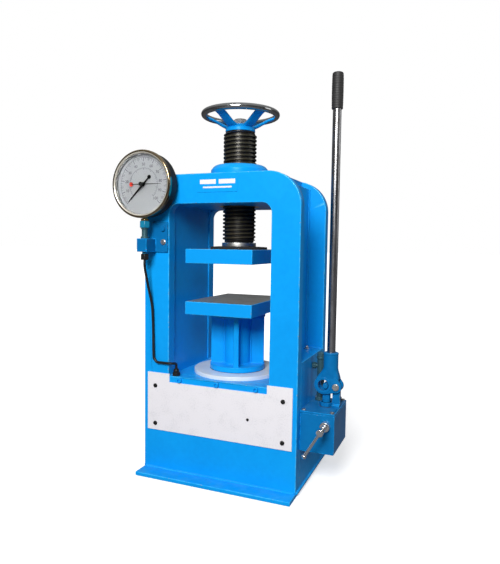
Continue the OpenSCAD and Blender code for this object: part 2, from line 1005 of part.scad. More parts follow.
// Plunger with a flat head that stands between the lever's cheeks
module plunger() {
    color(steel)
        difference() {
            union() {
                translate([pump_x, pump_y, tank_z + tank_wall + 16])
                    cylinder(r = plunger_d / 2, h = fulcrum_z - 12 - tank_z - tank_wall - 16);
                bar_y(pump_x, fulcrum_z, head_r, pump_y - cheek_gap / 2 + gap,
                    pump_y + cheek_gap / 2 - gap);
                block([pump_x - head_r, pump_y - cheek_gap / 2 + gap, fulcrum_z - 14],
                    [pump_x + head_r, pump_y + cheek_gap / 2 - gap, fulcrum_z]);
            }
            bar_y(pump_x, fulcrum_z, plunger_pin_r, pump_y - 20, pump_y + 20);
            translate([pump_x, pump_y, fulcrum_z - 40])
                for (s = [-1, 1])
                    translate([-20, s > 0 ? cheek_gap / 2 - gap : -20 - cheek_gap / 2 + gap, 0])
                        cube([40, 20, 60]);
        }
}

module plunger_pin() {
    color(blue)
        bar_y(pump_x, fulcrum_z, plunger_pin_r,
            pump_y - cheek_gap / 2 - cheek_t, pump_y + cheek_gap / 2 + cheek_t);
}

// Fulcrum post on the tank's cover
module fulcrum_post() {
    y0 = pump_y - cheek_gap / 2 + gap;
    y1 = pump_y + cheek_gap / 2 - gap;
    color(blue)
        difference() {
            union() {
                bar_y(fulcrum_x, fulcrum_z, 12, y0, y1);
                block([post_x0, y0, cover_z], [fulcrum_x + 11, y1, fulcrum_z]);
                block([post_x0, y0 - 9, cover_z], [fulcrum_x + 11, y1 + 9, cover_z + 8]);
            }
            bar_y(fulcrum_x, fulcrum_z, fulcrum_pin_r + fit, y0 - e, y1 + e);
        }
}

module fulcrum_pin() {
    y0 = pump_y - cheek_gap / 2 - cheek_t;
    y1 = pump_y + cheek_gap / 2 + cheek_t;
    color(steel) {
        bar_y(fulcrum_x, fulcrum_z, fulcrum_pin_r, y0, y1 + 3);
        bar_y(fulcrum_x, fulcrum_z, 10.5, y0 - 4, y0);
        bar_y(fulcrum_x, fulcrum_z, 10.5, y1, y1 + 3);
    }
}

// Lever foot: two cheeks with the eye and the fulcrum hole, and the tube's socket
module lever_socket() {
    outer = cheek_gap / 2 + cheek_t;
    color(blue)
        difference() {
            union() {
                hull() {
                    bar_y(eye_x, eye_z, eye_r, pump_y - outer, pump_y + outer, 64);
                    bar_y(fulcrum_x, fulcrum_z, 17, pump_y - outer, pump_y + outer, 64);
                }
                hull() {
                    bar_y(eye_x + 2, eye_z + 6, eye_r - 7, pump_y - outer, pump_y + outer, 64);
                    bar_y(fulcrum_x - 2, fulcrum_z + 3, 15, pump_y - outer, pump_y + outer, 64);
                    translate([lever_x, pump_y, socket_z0 + 16])
                        cylinder(r = socket_r - 1, h = 8, $fn = 64);
                }
                translate([lever_x, pump_y, socket_z0 + 8])
                    cylinder(r = socket_r, h = socket_z1 - socket_z0 - 8);
            }
            block([eye_x - 60, pump_y - cheek_gap / 2, fulcrum_z - 60],
                [fulcrum_x + 60, pump_y + cheek_gap / 2, socket_z0]);
            bar_y(eye_x, eye_z, eye_hole_r, pump_y - 40, pump_y + 40);
            bar_y(fulcrum_x, fulcrum_z, fulcrum_pin_r, pump_y - 40, pump_y + 40);
            for (s = [-1, 1])
                bar_y(fulcrum_x, fulcrum_z, 11, pump_y + s * (outer + 15) - 15,
                    pump_y + s * (outer + 15) + 15);
            translate([lever_x, pump_y, socket_z0 + 16])
                cylinder(r = lever_d / 2, h = 200);
        }
}

module lever_tube() {
    color(steel)
        difference() {
            translate([lever_x, pump_y, socket_z0 + 16])
                cylinder(r = lever_d / 2, h = lever_top - 6 - socket_z0 - 16);
            translate([lever_x, pump_y, socket_z0 + 16 - e])
                cylinder(r = lever_d / 2 - 4, h = lever_top - 6 - socket_z0 - 16 + 2 * e);
        }
}

module lever_grip() {
    color(black)
        difference() {
            union() {
                translate([lever_x, pump_y, lever_top - grip_l])
                    cylinder(r = grip_d / 2, h = grip_l - 6);
                translate([lever_x, pump_y, lever_top - 6])
                    cylinder(r1 = grip_d / 2, r2 = grip_d / 2 - 6, h = 6);
            }
            translate([lever_x, pump_y, lever_top - grip_l - e])
                cylinder(r = lever_d / 2, h = grip_l - 6 + e);
        }
}

module tommy_place() {
    translate([valve_x, knuckle_y, valve_z])
        rotate([0, tommy_lean, 0])
            children();
}

// Release valve spindle with its knuckle
module release_valve() {
    color(steel)
        difference() {
            union() {
                bar_y(valve_x, valve_z, spindle_r, knuckle_y, tank_y0 + tank_wall + 20);
                bar_y(valve_x, valve_z, knuckle_r, knuckle_y - 10, knuckle_y + 10);
                bar_y(valve_x, valve_z, 14, tank_y0 - 14, tank_y0 - gap);
            }
            tommy_place()
                translate([0, 0, -30])
                    cylinder(r = tommy_r + fit, h = 60);
        }
}

// The tommy bar hangs through the knuckle on its upper ball
module tommy_bar() {
    top = knuckle_r + ball_r;
    color(steel)
        tommy_place() {
            translate([0, 0, top - tommy_l])
                cylinder(r = tommy_r, h = tommy_l);
            for (z = [top, top - tommy_l])
                translate([0, 0, z])
                    sphere(r = ball_r);
        }
}

base_plate();
front_plate();
rear_plate();
left_web();
right_web();
left_side_box();
right_side_box();
crosshead();
bolster();
bolster_bolts();
ram_cylinder();
gland_ring();
ram_seals();
ram();
spacer();
lower_platen();
screw_nut();
nut_housing();
screw();
handwheel_hub();
handwheel_rim();
wheel_nut();
seat_cup();
seat_liner();
seat_dome();
platen_stud();
upper_platen();
front_panel();
panel_screws();
nameplate();
gauge_case();
gauge_bezel();
gauge_glass();
gauge_dial();
gauge_movement();
load_pointer();
maximum_pointer();
reset_knob();
gauge_stem();
gauge_fitting();
gauge_bracket();
bracket_bolts();
tube_nuts();
pressure_tube();
pump_tank();
tank_cover();
cover_bolts();
filler_cap();
pump_cylinder();
delivery_valve();
gland_nut();
plunger();
plunger_pin();
fulcrum_post();
fulcrum_pin();
lever_socket();
lever_tube();
lever_grip();
release_valve();
tommy_bar();
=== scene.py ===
import json
import math

import bmesh
import bpy
import numpy as np
from mathutils import Matrix, Vector

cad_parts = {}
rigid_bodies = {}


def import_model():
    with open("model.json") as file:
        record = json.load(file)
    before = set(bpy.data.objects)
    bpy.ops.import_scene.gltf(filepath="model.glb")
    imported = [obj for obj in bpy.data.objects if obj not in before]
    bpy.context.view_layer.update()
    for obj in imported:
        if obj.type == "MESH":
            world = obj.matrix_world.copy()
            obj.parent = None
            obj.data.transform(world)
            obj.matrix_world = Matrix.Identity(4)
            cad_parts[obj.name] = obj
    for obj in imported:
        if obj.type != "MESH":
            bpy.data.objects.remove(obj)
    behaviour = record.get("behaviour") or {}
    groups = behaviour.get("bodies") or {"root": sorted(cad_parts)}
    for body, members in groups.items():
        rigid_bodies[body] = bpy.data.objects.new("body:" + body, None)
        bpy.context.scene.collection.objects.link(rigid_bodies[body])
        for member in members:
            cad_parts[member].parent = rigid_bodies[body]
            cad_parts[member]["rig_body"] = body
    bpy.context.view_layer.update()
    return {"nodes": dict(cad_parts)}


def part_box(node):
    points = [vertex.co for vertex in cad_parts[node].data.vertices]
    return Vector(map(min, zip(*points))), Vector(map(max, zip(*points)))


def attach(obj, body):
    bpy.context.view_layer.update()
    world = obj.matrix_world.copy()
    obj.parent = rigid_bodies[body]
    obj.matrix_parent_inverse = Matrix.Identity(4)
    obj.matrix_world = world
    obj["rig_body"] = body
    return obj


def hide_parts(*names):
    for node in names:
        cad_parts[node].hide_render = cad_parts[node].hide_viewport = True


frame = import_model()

# Looks of a hand-pumped hydraulic compression press. Shapes are worked out in millimetres in the
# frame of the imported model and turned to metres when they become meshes.

MM = 0.001
nodes = frame["nodes"]


def span(node):
    """Lowest and highest corner of a CAD node, in millimetres."""
    low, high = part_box(node)
    return np.array(low) / MM, np.array(high) / MM


# Running clearance, the screw's thread and spigot, and the gauge's axis and scale in degrees.
RUNNING_GAP = 0.05
CREST, ROOT, PITCH, SPIGOT_R = 52.0, 46.0, 12.0, 20.0
GAUGE_X, GAUGE_Z = -224.0, 890.0
SWEEP, SCALE_START = 270.0, -135.0


# ---------------------------------------------------------------- shapes


def rounded(points, radius, steps=4):
    """Line with its inner corners rounded: corner P becomes (1-t)^2 A + 2t(1-t) P + t^2 B, where
    A and B lie a radius before and after P, or 45 hundredths of the leg where that is shorter."""
    p = np.asarray(points, float)
    legs = np.diff(p, axis=0)
    long = np.maximum(np.linalg.norm(legs, axis=1), 1e-9)
    cut = np.minimum(radius, 0.45 * np.minimum(long[:-1], long[1:]))[:, None]
    a = p[1:-1] - cut * legs[:-1] / long[:-1, None]
    b = p[1:-1] + cut * legs[1:] / long[1:, None]
    t = np.linspace(0, 1, steps + 1)[None, :, None]
    arcs = (1 - t) ** 2 * a[:, None] + 2 * t * (1 - t) * p[1:-1, None] + t**2 * b[:, None]
    return np.concatenate([p[:1], arcs.reshape(-1, p.shape[1]), p[-1:]])


def triad(direction):
    """Three unit vectors u, v, n, where n is the direction and u and v stand square to it."""
    n = np.asarray(direction, float) / np.linalg.norm(direction)
    ref = np.array([0.0, 0, 1]) if abs(n[1]) > 0.9 else np.array([0.0, 1, 0])
    u = np.cross(ref, n)
    u /= np.linalg.norm(u)
    return u, np.cross(n, u), n


def turned(profile, origin=(0, 0, 0), direction=(0, 0, 1), count=96, apothem=None, ripple=None):
    """Profile (r, h) turned about a line: origin + h n + r (cos t u + sin t v). With an apothem
    the radius is held to a hexagon, r = min(r, apothem / cos((t mod 60) - 30)); a ripple
    (depth, waves, low, high) takes depth (1 - cos(waves t)) / 2 off r between two heights."""
    profile = np.asarray(profile, float)
    u, v, n = triad(direction)
    t = np.linspace(0, 2 * math.pi, count, endpoint=False)[None, :]
    r = np.repeat(profile[:, :1], count, axis=1)
    h = profile[:, 1:2]
    if apothem:
        r = np.minimum(r, apothem / np.cos(np.mod(t, math.pi / 3) - math.pi / 6))
    if ripple:
        depth, waves, low, high = ripple
        r = r - depth * (1 - np.cos(waves * t)) / 2 * ((h >= low) & (h <= high) & (r > 1))
    around = np.cos(t)[..., None] * u + np.sin(t)[..., None] * v
    return np.asarray(origin, float) + h[..., None] * n + r[..., None] * around


def hexagon(corner, low, high, origin=(0, 0, 0), direction=(0, 0, 1), chamfer=1.3, bore=0.0):
    """Hexagonal prism whose corners are cut by a cone at both ends, on an optional bore."""
    apothem = corner * math.cos(math.pi / 6)
    rise = np.linspace(0, 1, 6)
    wide = apothem * 0.97 + (corner - apothem * 0.97) * rise
    lower = np.stack([wide, low + chamfer * rise], -1)
    upper = np.stack([wide[::-1], high - chamfer * rise[::-1]], -1)
    profile = np.concatenate([[[bore, low]], lower, upper, [[bore, high], [bore, low]]])
    return turned(profile, origin, direction, 72, apothem)


def smooth_path(points, per):
    """Catmull-Rom curve through the points, with per steps between neighbours."""
    p = np.asarray(points, float)
    p = np.concatenate([2 * p[:1] - p[1:2], p, 2 * p[-1:] - p[-2:-1]])
    t = np.linspace(0, 1, per, endpoint=False)[None, :, None]
    a, b, c, d = p[:-3, None], p[1:-2, None], p[2:-1, None], p[3:, None]
    curve = b + 0.5 * t * (c - a + t * (2 * a - 5 * b + 4 * c - d + t * (3 * (b - c) + d - a)))
    return np.concatenate([curve.reshape(-1, 3), p[-2:-1]])


def swept(path, across, along, side=(0.3, 0.95, 0.1)):
    """Section carried along a path: P + x u + y v, with u square to the path and to side. across
    and along hold each ring's x and y. The two ends close on their own centres."""
    path = np.asarray(path, float)
    go = np.gradient(path, axis=0)
    go /= np.linalg.norm(go, axis=1)[:, None]
    u = np.cross(go, side)
    u /= np.linalg.norm(u, axis=1)[:, None]
    v = np.cross(go, u)
    rings = path[:, None] + across[..., None] * u[:, None] + along[..., None] * v[:, None]
    ends = [np.repeat(path[i][None, None], across.shape[1], axis=1) for i in (0, -1)]
    return np.concatenate([ends[0], rings, ends[1]])


def round_bar(path, radius, count=16):
    """Round section of one radius, or one per point, carried along a path."""
    t = np.linspace(0, 2 * math.pi, count, endpoint=False)[None, :]
    r = np.broadcast_to(np.asarray(radius, float), (len(path),))[:, None]
    return swept(path, r * np.cos(t), r * np.sin(t))


def bead(a, b, radius=4.0, pitch=3.2):
    """Weld bead from a to b: a round section whose radius swells once each pitch."""
    a, b = np.asarray(a, float), np.asarray(b, float)
    length = np.linalg.norm(b - a)
    s = np.linspace(0, length, int(length / pitch * 5))
    swell = radius * (0.9 + 0.14 * np.abs(np.sin(math.pi * s / pitch)) + 0.05 * np.sin(s * 0.11))
    fade = np.clip(np.minimum(s, length - s) / 3 + 0.3, 0, 1)
    return round_bar(a + (b - a) * (s / length)[:, None], swell * fade, 10)


def outline(half_x, half_z, corner, count=32):
    """Rectangle with round corners, as count points: sharp corner point plus corner times the
    unit circle of its quadrant."""
    t = np.linspace(0, 2 * math.pi, count, endpoint=False) + math.pi / count
    x = np.sign(np.cos(t)) * (half_x - corner) + corner * np.cos(t)
    z = np.sign(np.sin(t)) * (half_z - corner) + corner * np.sin(t)
    return np.stack([x, z], -1)


def plaque(centre, half_x, half_z, front, back, corner=1.5, edge=0.3):
    """Flat plate facing the front with a softened edge, closed on its own centre."""
    shape, inner = outline(half_x, half_z, corner), outline(half_x - edge, half_z - edge, corner)
    rings = [(0 * inner, front), (0.5 * inner, front), (inner, front), (shape, front + edge),
             (shape, back), (0 * inner, back)]
    return np.stack([np.stack([centre[0] + o[:, 0], np.full(len(o), y), centre[1] + o[:, 1]], -1)
                     for o, y in rings])


def blade(lengths, halves, turn, front, back, centre):
    """Flat pointer blade: at each length a section of that half width, from front to back, turned
    clockwise from upright by turn degrees as seen from the front."""
    a = math.radians(turn)
    out, side = np.array([math.sin(a), 0, math.cos(a)]), np.array([math.cos(a), 0, -math.sin(a)])
    s, w = np.asarray(lengths, float)[:, None, None], np.asarray(halves, float)[:, None, None]
    middle = np.array([centre[0], 0, centre[1]]) + s * out
    corner = np.array([-1, 1, 1, -1])[None, :, None]
    depth = np.array([front, front, back, back])[None, :, None] * np.array([0, 1, 0])
    rings = middle + corner * w * side + depth
    ends = [np.broadcast_to(rings[i].mean(0), (1, 4, 3)) for i in (0, -1)]
    return np.concatenate([ends[0], rings, ends[1]])


def grid_faces(rows, columns, start):
    """Quads between neighbouring rows, where the last column meets the first."""
    i, j = np.meshgrid(np.arange(rows - 1), np.arange(columns), indexing="ij")
    k = (j + 1) % columns
    quads = [i * columns + j, i * columns + k, (i + 1) * columns + k, (i + 1) * columns + j]
    return (np.stack(quads, -1).reshape(-1, 4) + start).tolist()


def tidy_mesh(mesh, flat=False):
    """Closes seams and poles, drops empty faces and points the rest outwards. flat also joins
    triangles that lie in one plane."""
    bm = bmesh.new()
    bm.from_mesh(mesh)
    bmesh.ops.remove_doubles(bm, verts=bm.verts, dist=2e-6)
    bmesh.ops.dissolve_degenerate(bm, edges=bm.edges, dist=1e-6)
    if flat:
        bmesh.ops.dissolve_limit(bm, angle_limit=math.radians(0.5), verts=bm.verts, edges=bm.edges)
    bmesh.ops.recalc_face_normals(bm, faces=bm.faces)
    bm.to_mesh(mesh)
    bm.free()


def place(piece, node, stands_for):
    """The piece rides on the node's body and may stand for CAD nodes."""
    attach(piece, nodes[node]["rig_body"])
    if stands_for:
        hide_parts(*stands_for)
    return piece


def build(name, grids, material, node, stands_for=(), sharp=38):
    """One piece from grids of points whose columns close on themselves."""
    points, faces, start = [], [], 0
    for grid in grids:
        rows, columns = grid.shape[:2]
        points.append(grid.reshape(-1, 3))
        faces += grid_faces(rows, columns, start)
        start += rows * columns
    mesh = bpy.data.meshes.new(name)
    mesh.from_pydata((np.concatenate(points) * MM).tolist(), [], faces)
    tidy_mesh(mesh)
    mesh.shade_smooth()
    mesh.set_sharp_from_angle(angle=math.radians(sharp))
    mesh.materials.append(material)
    piece = bpy.data.objects.new(name, mesh)
    bpy.context.scene.collection.objects.link(piece)
    return place(piece, node, stands_for)


BROAD_FACE = 6e-4                       # in square metres
BEVEL_FROM = 32                         # in degrees


def softened(node, width, material, edge=None, steps=2):
    """The CAD node's own shape with its edges rounded to a width in millimetres. The rounded
    edges take the edge material. Broad faces shade flat, and the facets of an arc smooth."""
    mesh = nodes[node].data.copy()
    mesh.materials.clear()
    tidy_mesh(mesh, flat=True)
    areas = np.empty(len(mesh.polygons))
    mesh.polygons.foreach_get("area", areas)
    mesh.polygons.foreach_set("use_smooth", areas < BROAD_FACE)
    mesh.materials.append(material)
    piece = bpy.data.objects.new(node + "_finished", mesh)
    bpy.context.scene.collection.objects.link(piece)
    bevel = piece.modifiers.new("soft edges", "BEVEL")
    bevel.width, bevel.segments = width * MM, steps
    bevel.limit_method, bevel.angle_limit = "ANGLE", math.radians(BEVEL_FROM)
    bevel.use_clamp_overlap, bevel.harden_normals = False, True
    if edge:
        mesh.materials.append(edge)
        bevel.material = 1
    return place(piece, node, [node])


# ---------------------------------------------------------------- materials


def add(tree, kind, inputs=(), out=0, **settings):
    """Adds a node and gives one of its outputs. An input is a value or another node's output."""
    node = tree.nodes.new("ShaderNode" + kind)
    for key, value in settings.items():
        setattr(node, key, value)
    for key, value in dict(inputs).items():
        if isinstance(value, bpy.types.NodeSocket):
            tree.links.new(value, node.inputs[key])
        else:
            node.inputs[key].default_value = value
    return node.outputs[out]


def math_of(tree, operation, a, b=0.0, clamp=False):
    """One sum of two numbers, held to 0..1 where clamp is set."""
    return add(tree, "Math", {0: a, 1: b}, operation=operation, use_clamp=clamp)


def distance_of(tree, a, b):
    """Length of a right triangle's long side from its other two."""
    squares = [math_of(tree, "MULTIPLY", side, side) for side in (a, b)]
    return math_of(tree, "SQRT", math_of(tree, "ADD", *squares))


def ranged(tree, value, low, high, to_low=0.0, to_high=1.0):
    """Value stretched from low..high to to_low..to_high, and held there."""
    ends = {"Value": value, "From Min": low, "From Max": high, "To Min": to_low, "To Max": to_high}
    return add(tree, "MapRange", ends)


def mixed(tree, factor, a, b):
    """Colour a at factor 0 and b at factor 1."""
    return add(tree, "Mix", {0: factor, 6: a, 7: b}, 2, data_type="RGBA")


def group(name, inputs, outputs):
    """Empty shader node group with number inputs and the named outputs."""
    tree = bpy.data.node_groups.new(name, "ShaderNodeTree")
    for key, value in inputs.items():
        kind = "NodeSocketVector" if isinstance(value, tuple) else "NodeSocketFloat"
        tree.interface.new_socket(key, in_out="INPUT", socket_type=kind).default_value = value
    for key, kind in outputs.items():
        tree.interface.new_socket(key, in_out="OUTPUT", socket_type="NodeSocket" + kind)
    return tree, tree.nodes.new("NodeGroupInput").outputs, tree.nodes.new("NodeGroupOutput").inputs


def mottle_group():
    """Slow variation of a finish: two noises, one eleven times finer, as a value round a half."""
    tree, given, wanted = group("Mottle", {"Scale": 9.0, "Fine share": 0.35}, {"Value": "Float"})
    at = add(tree, "TexCoord", out="Object")
    slow = add(tree, "TexNoise", {"Vector": at, "Scale": given["Scale"], "Detail": 4.0})
    finer = math_of(tree, "MULTIPLY", given["Scale"], 11.0)
    fine = add(tree, "TexNoise", {"Vector": at, "Scale": finer, "Detail": 2.0})
    both = add(tree, "Mix", {0: given["Fine share"], 2: slow, 3: fine}, data_type="FLOAT")
    tree.links.new(both, wanted["Value"])
    return tree


def grain_group():
    """Small relief: noise on stretched coordinates, as a height and the normal it gives."""
    tree, given, wanted = group(
        "Grain", {"Scale": 300.0, "Stretch": (1.0, 1.0, 1.0), "Strength": 0.1, "Depth": 0.001},
        {"Value": "Float", "Normal": "Vector"})
    at = add(tree, "Mapping", {"Vector": add(tree, "TexCoord", out="Object"),
                               "Scale": given["Stretch"]})
    noise = add(tree, "TexNoise", {"Vector": at, "Scale": given["Scale"], "Detail": 3.0,
                                   "Roughness": 0.55})
    bump = add(tree, "Bump", {"Strength": given["Strength"], "Distance": given["Depth"],
                              "Height": noise})
    tree.links.new(noise, wanted["Value"])
    tree.links.new(bump, wanted["Normal"])
    return tree


def dust_group():
    """Dust and handling marks: faces that look up, broken by noise, as a mask."""
    tree, given, wanted = group("Dust", {"Amount": 0.3, "Scale": 40.0}, {"Mask": "Float"})
    up = add(tree, "SeparateXYZ", {0: add(tree, "NewGeometry", out="Normal")}, 2)
    facing = ranged(tree, up, 0.4, 0.95)
    noise = add(tree, "TexNoise", {"Vector": add(tree, "TexCoord", out="Object"),
                                   "Scale": given["Scale"], "Detail": 6.0})
    broken = ranged(tree, noise, 0.35, 0.7)
    part = math_of(tree, "MULTIPLY", facing, broken)
    tree.links.new(math_of(tree, "MULTIPLY", part, given["Amount"], clamp=True), wanted["Mask"])
    return tree


def chips_group():
    """Chipped or rubbed spots: the peaks of a broken noise, as a mask. Cover is their share."""
    tree, given, wanted = group("Chips", {"Scale": 160.0, "Cover": 0.3}, {"Mask": "Float"})
    noise = add(tree, "TexNoise", {"Vector": add(tree, "TexCoord", out="Object"),
                                   "Scale": given["Scale"], "Detail": 5.0, "Roughness": 0.7})
    start = math_of(tree, "SUBTRACT", 0.78, math_of(tree, "MULTIPLY", given["Cover"], 0.4))
    stop = math_of(tree, "ADD", start, 0.05)
    tree.links.new(ranged(tree, noise, start, stop), wanted["Mask"])
    return tree


MOTTLE, GRAIN, DUST, CHIPS = mottle_group(), grain_group(), dust_group(), chips_group()


def use(tree, shared, out=0, **values):
    """Places a shared group in a material with its own values."""
    node = tree.nodes.new("ShaderNodeGroup")
    node.node_tree = shared
    for key, value in values.items():
        node.inputs[key.replace("_", " ")].default_value = value
    return node.outputs[out]


def material(name, paint):
    """Material whose Principled sockets are what paint(tree) returns: values or outputs."""
    made = bpy.data.materials.new(name)
    made.use_nodes = True
    tree = made.node_tree
    shader = tree.nodes["Principled BSDF"]
    for key, value in paint(tree).items():
        if isinstance(value, bpy.types.NodeSocket):
            tree.links.new(value, shader.inputs[key])
        else:
            shader.inputs[key].default_value = value
    return made


# Blues of the frame and of the pump, worn blue that is partly a painted edge highlight,
# bare steel, dust, and the tint of reflections.
AZURE, AZURE_DEEP = (0.004, 0.345, 0.86, 1), (0.003, 0.295, 0.78, 1)
# The pump's blues are darker than the frame's, partly as painted shade on the pump.
PUMP_BLUE_SHADED, PUMP_DEEP_SHADED = (0.003, 0.165, 0.43, 1), (0.002, 0.120, 0.34, 1)
AZURE_WORN_LIT, BARE = (0.05, 0.48, 0.92, 1), (0.52, 0.52, 0.53, 1)
DUSTY, SHEEN = (0.16, 0.47, 0.74, 1), (0.25, 0.72, 1.0, 1)


def enamel(tree, chips=0.0, deep=AZURE_DEEP, full=AZURE):
    """Blue enamel over steel, a little uneven, with dust on top and chips down to the metal."""
    colour = mixed(tree, ranged(tree, use(tree, MOTTLE, Scale=6.0), 0.3, 0.7), deep, full)
    colour = mixed(tree, use(tree, DUST, Amount=0.14, Scale=38.0), colour, DUSTY)
    made = {"Base Color": colour,
            "Roughness": ranged(tree, use(tree, MOTTLE, Scale=14.0), 0.2, 0.8, 0.26, 0.42),
            "Normal": use(tree, GRAIN, 1, Scale=240.0, Strength=0.10, Depth=0.0006),
            "Coat Weight": 0.05, "Coat Roughness": 0.2, "Specular IOR Level": 0.26,
            "Specular Tint": SHEEN}
    if chips:
        bare = use(tree, CHIPS, Scale=170.0, Cover=chips)
        made["Base Color"] = mixed(tree, bare, colour, BARE)
        made["Metallic"] = math_of(tree, "MULTIPLY", bare, 0.9)
    return made


def rubbed(tree, full=AZURE, pale=AZURE_WORN_LIT):
    """Enamel worn thin along an edge: paler blue, partly a painted edge highlight, with bare steel
    in spots.
    """
    bare = use(tree, CHIPS, Scale=120.0, Cover=0.42)
    thin = mixed(tree, ranged(tree, use(tree, MOTTLE, Scale=60.0), 0.4, 0.6), full, pale)
    return {"Base Color": mixed(tree, bare, thin, BARE), "Metallic": bare, "Roughness": 0.3,
            "Normal": use(tree, GRAIN, 1, Scale=400.0, Strength=0.15, Depth=0.0006),
            "Coat Weight": 0.1, "Coat Roughness": 0.1, "Specular Tint": SHEEN}


def platen_finish(tree):
    """Blue sides, and ground working faces above and below with marks from specimens."""
    up = add(tree, "SeparateXYZ", {0: add(tree, "NewGeometry", out="Normal")}, 2)
    worked = ranged(tree, math_of(tree, "ABSOLUTE", up), 0.8, 0.9)
    colour = mixed(tree, use(tree, MOTTLE, Scale=7.0), AZURE_DEEP, AZURE)
    lines = use(tree, GRAIN, 0, Scale=260.0, Stretch=(0.06, 1.0, 1.0))
    steel = mixed(tree, lines, (0.28, 0.285, 0.27, 1), (0.52, 0.525, 0.50, 1))
    stain = ranged(tree, use(tree, MOTTLE, Scale=22.0), 0.5, 0.68)
    steel = mixed(tree, stain, steel, (0.27, 0.26, 0.23, 1))
    return {"Base Color": mixed(tree, worked, colour, steel),
            "Metallic": math_of(tree, "MULTIPLY", worked, 0.7),
            "Roughness": ranged(tree, worked, 0, 1, 0.32, 0.48),
            "Normal": use(tree, GRAIN, 1, Scale=300.0, Strength=0.10, Depth=0.0006),
            "Coat Weight": 0.05, "Specular Tint": mixed(tree, worked, SHEEN, (1, 1, 1, 1))}


def white_enamel(tree):
    """Satin white paint, faintly warm, with a few grey handling marks."""
    marks = ranged(tree, use(tree, MOTTLE, Scale=30.0, Fine_share=0.6), 0.52, 0.75)
    colour = mixed(tree, marks, (0.80, 0.78, 0.81, 1), (0.62, 0.61, 0.64, 1))
    return {"Base Color": colour, "Roughness": 0.38, "Coat Weight": 0.12,
            "Normal": use(tree, GRAIN, 1, Scale=420.0, Strength=0.08, Depth=0.0005)}


def steel_finish(low, high, scale, stretch, dark, light, stain=None):
    """Bare steel: fine lines along the way it was worked, between a dark and a light grey."""

    def paint(tree):
        lines = use(tree, GRAIN, 0, Scale=scale, Stretch=stretch)
        colour = mixed(tree, lines, dark, light)
        if stain:
            spots = ranged(tree, use(tree, MOTTLE, Scale=26.0), 0.5, 0.72)
            colour = mixed(tree, spots, colour, stain)
        return {"Base Color": colour, "Metallic": 1.0,
                "Roughness": ranged(tree, lines, 0.3, 0.7, low, high),
                "Normal": use(tree, GRAIN, 1, Scale=scale, Stretch=stretch, Strength=0.06,
                              Depth=0.0004)}

    return paint


def thread_finish(tree):
    """Blackened, oiled screw: crests worn brown and bright, partly a painted highlight along the
    thread; the roots keep the near-black.
    """
    xyz = tree.nodes.new("ShaderNodeSeparateXYZ")
    tree.links.new(add(tree, "TexCoord", out="Object"), xyz.inputs[0])
    radius = distance_of(tree, xyz.outputs[0], xyz.outputs[1])
    crest = ranged(tree, radius, (CREST - 2) * MM, (CREST - 0.1) * MM)
    patchy = math_of(tree, "MULTIPLY", crest, use(tree, MOTTLE, Scale=30.0, Fine_share=0.5))
    brown = mixed(tree, use(tree, MOTTLE, Scale=18.0), (0.085, 0.055, 0.035, 1),
                  (0.05, 0.065, 0.03, 1))
    cover = math_of(tree, "MULTIPLY", patchy, 1.1, clamp=True)
    colour = mixed(tree, cover, (0.012, 0.011, 0.011, 1), brown)
    # Bright spots on the crests: wear, and partly a painted highlight along the thread.
    crest_wear_and_highlight = math_of(tree, "MULTIPLY", crest, use(tree, CHIPS, Scale=90.0, Cover=0.32))
    return {"Base Color": mixed(tree, crest_wear_and_highlight, colour, (0.30, 0.28, 0.25, 1)),
            "Metallic": ranged(tree, crest_wear_and_highlight, 0, 1, 0.35, 0.95),
            "Roughness": ranged(tree, use(tree, MOTTLE, Scale=40.0), 0.3, 0.7, 0.24, 0.46),
            "Normal": use(tree, GRAIN, 1, Scale=500.0, Stretch=(1.0, 1.0, 0.2), Strength=0.12,
                          Depth=0.0005)}


def plain(colour, second, roughness, metallic=0.0, scale=30.0, relief=0.1, fine=400.0, coat=0.0):
    """A finish between two near colours, with its own roughness and small relief."""

    def paint(tree):
        share = ranged(tree, use(tree, MOTTLE, Scale=scale, Fine_share=0.4), 0.3, 0.7)
        return {"Base Color": mixed(tree, share, colour, second), "Metallic": metallic,
                "Roughness": ranged(tree, share, 0, 1, roughness * 0.85, roughness * 1.15),
                "Normal": use(tree, GRAIN, 1, Scale=fine, Strength=relief, Depth=0.0006),
                "Coat Weight": coat, "Coat Roughness": 0.1}

    return paint


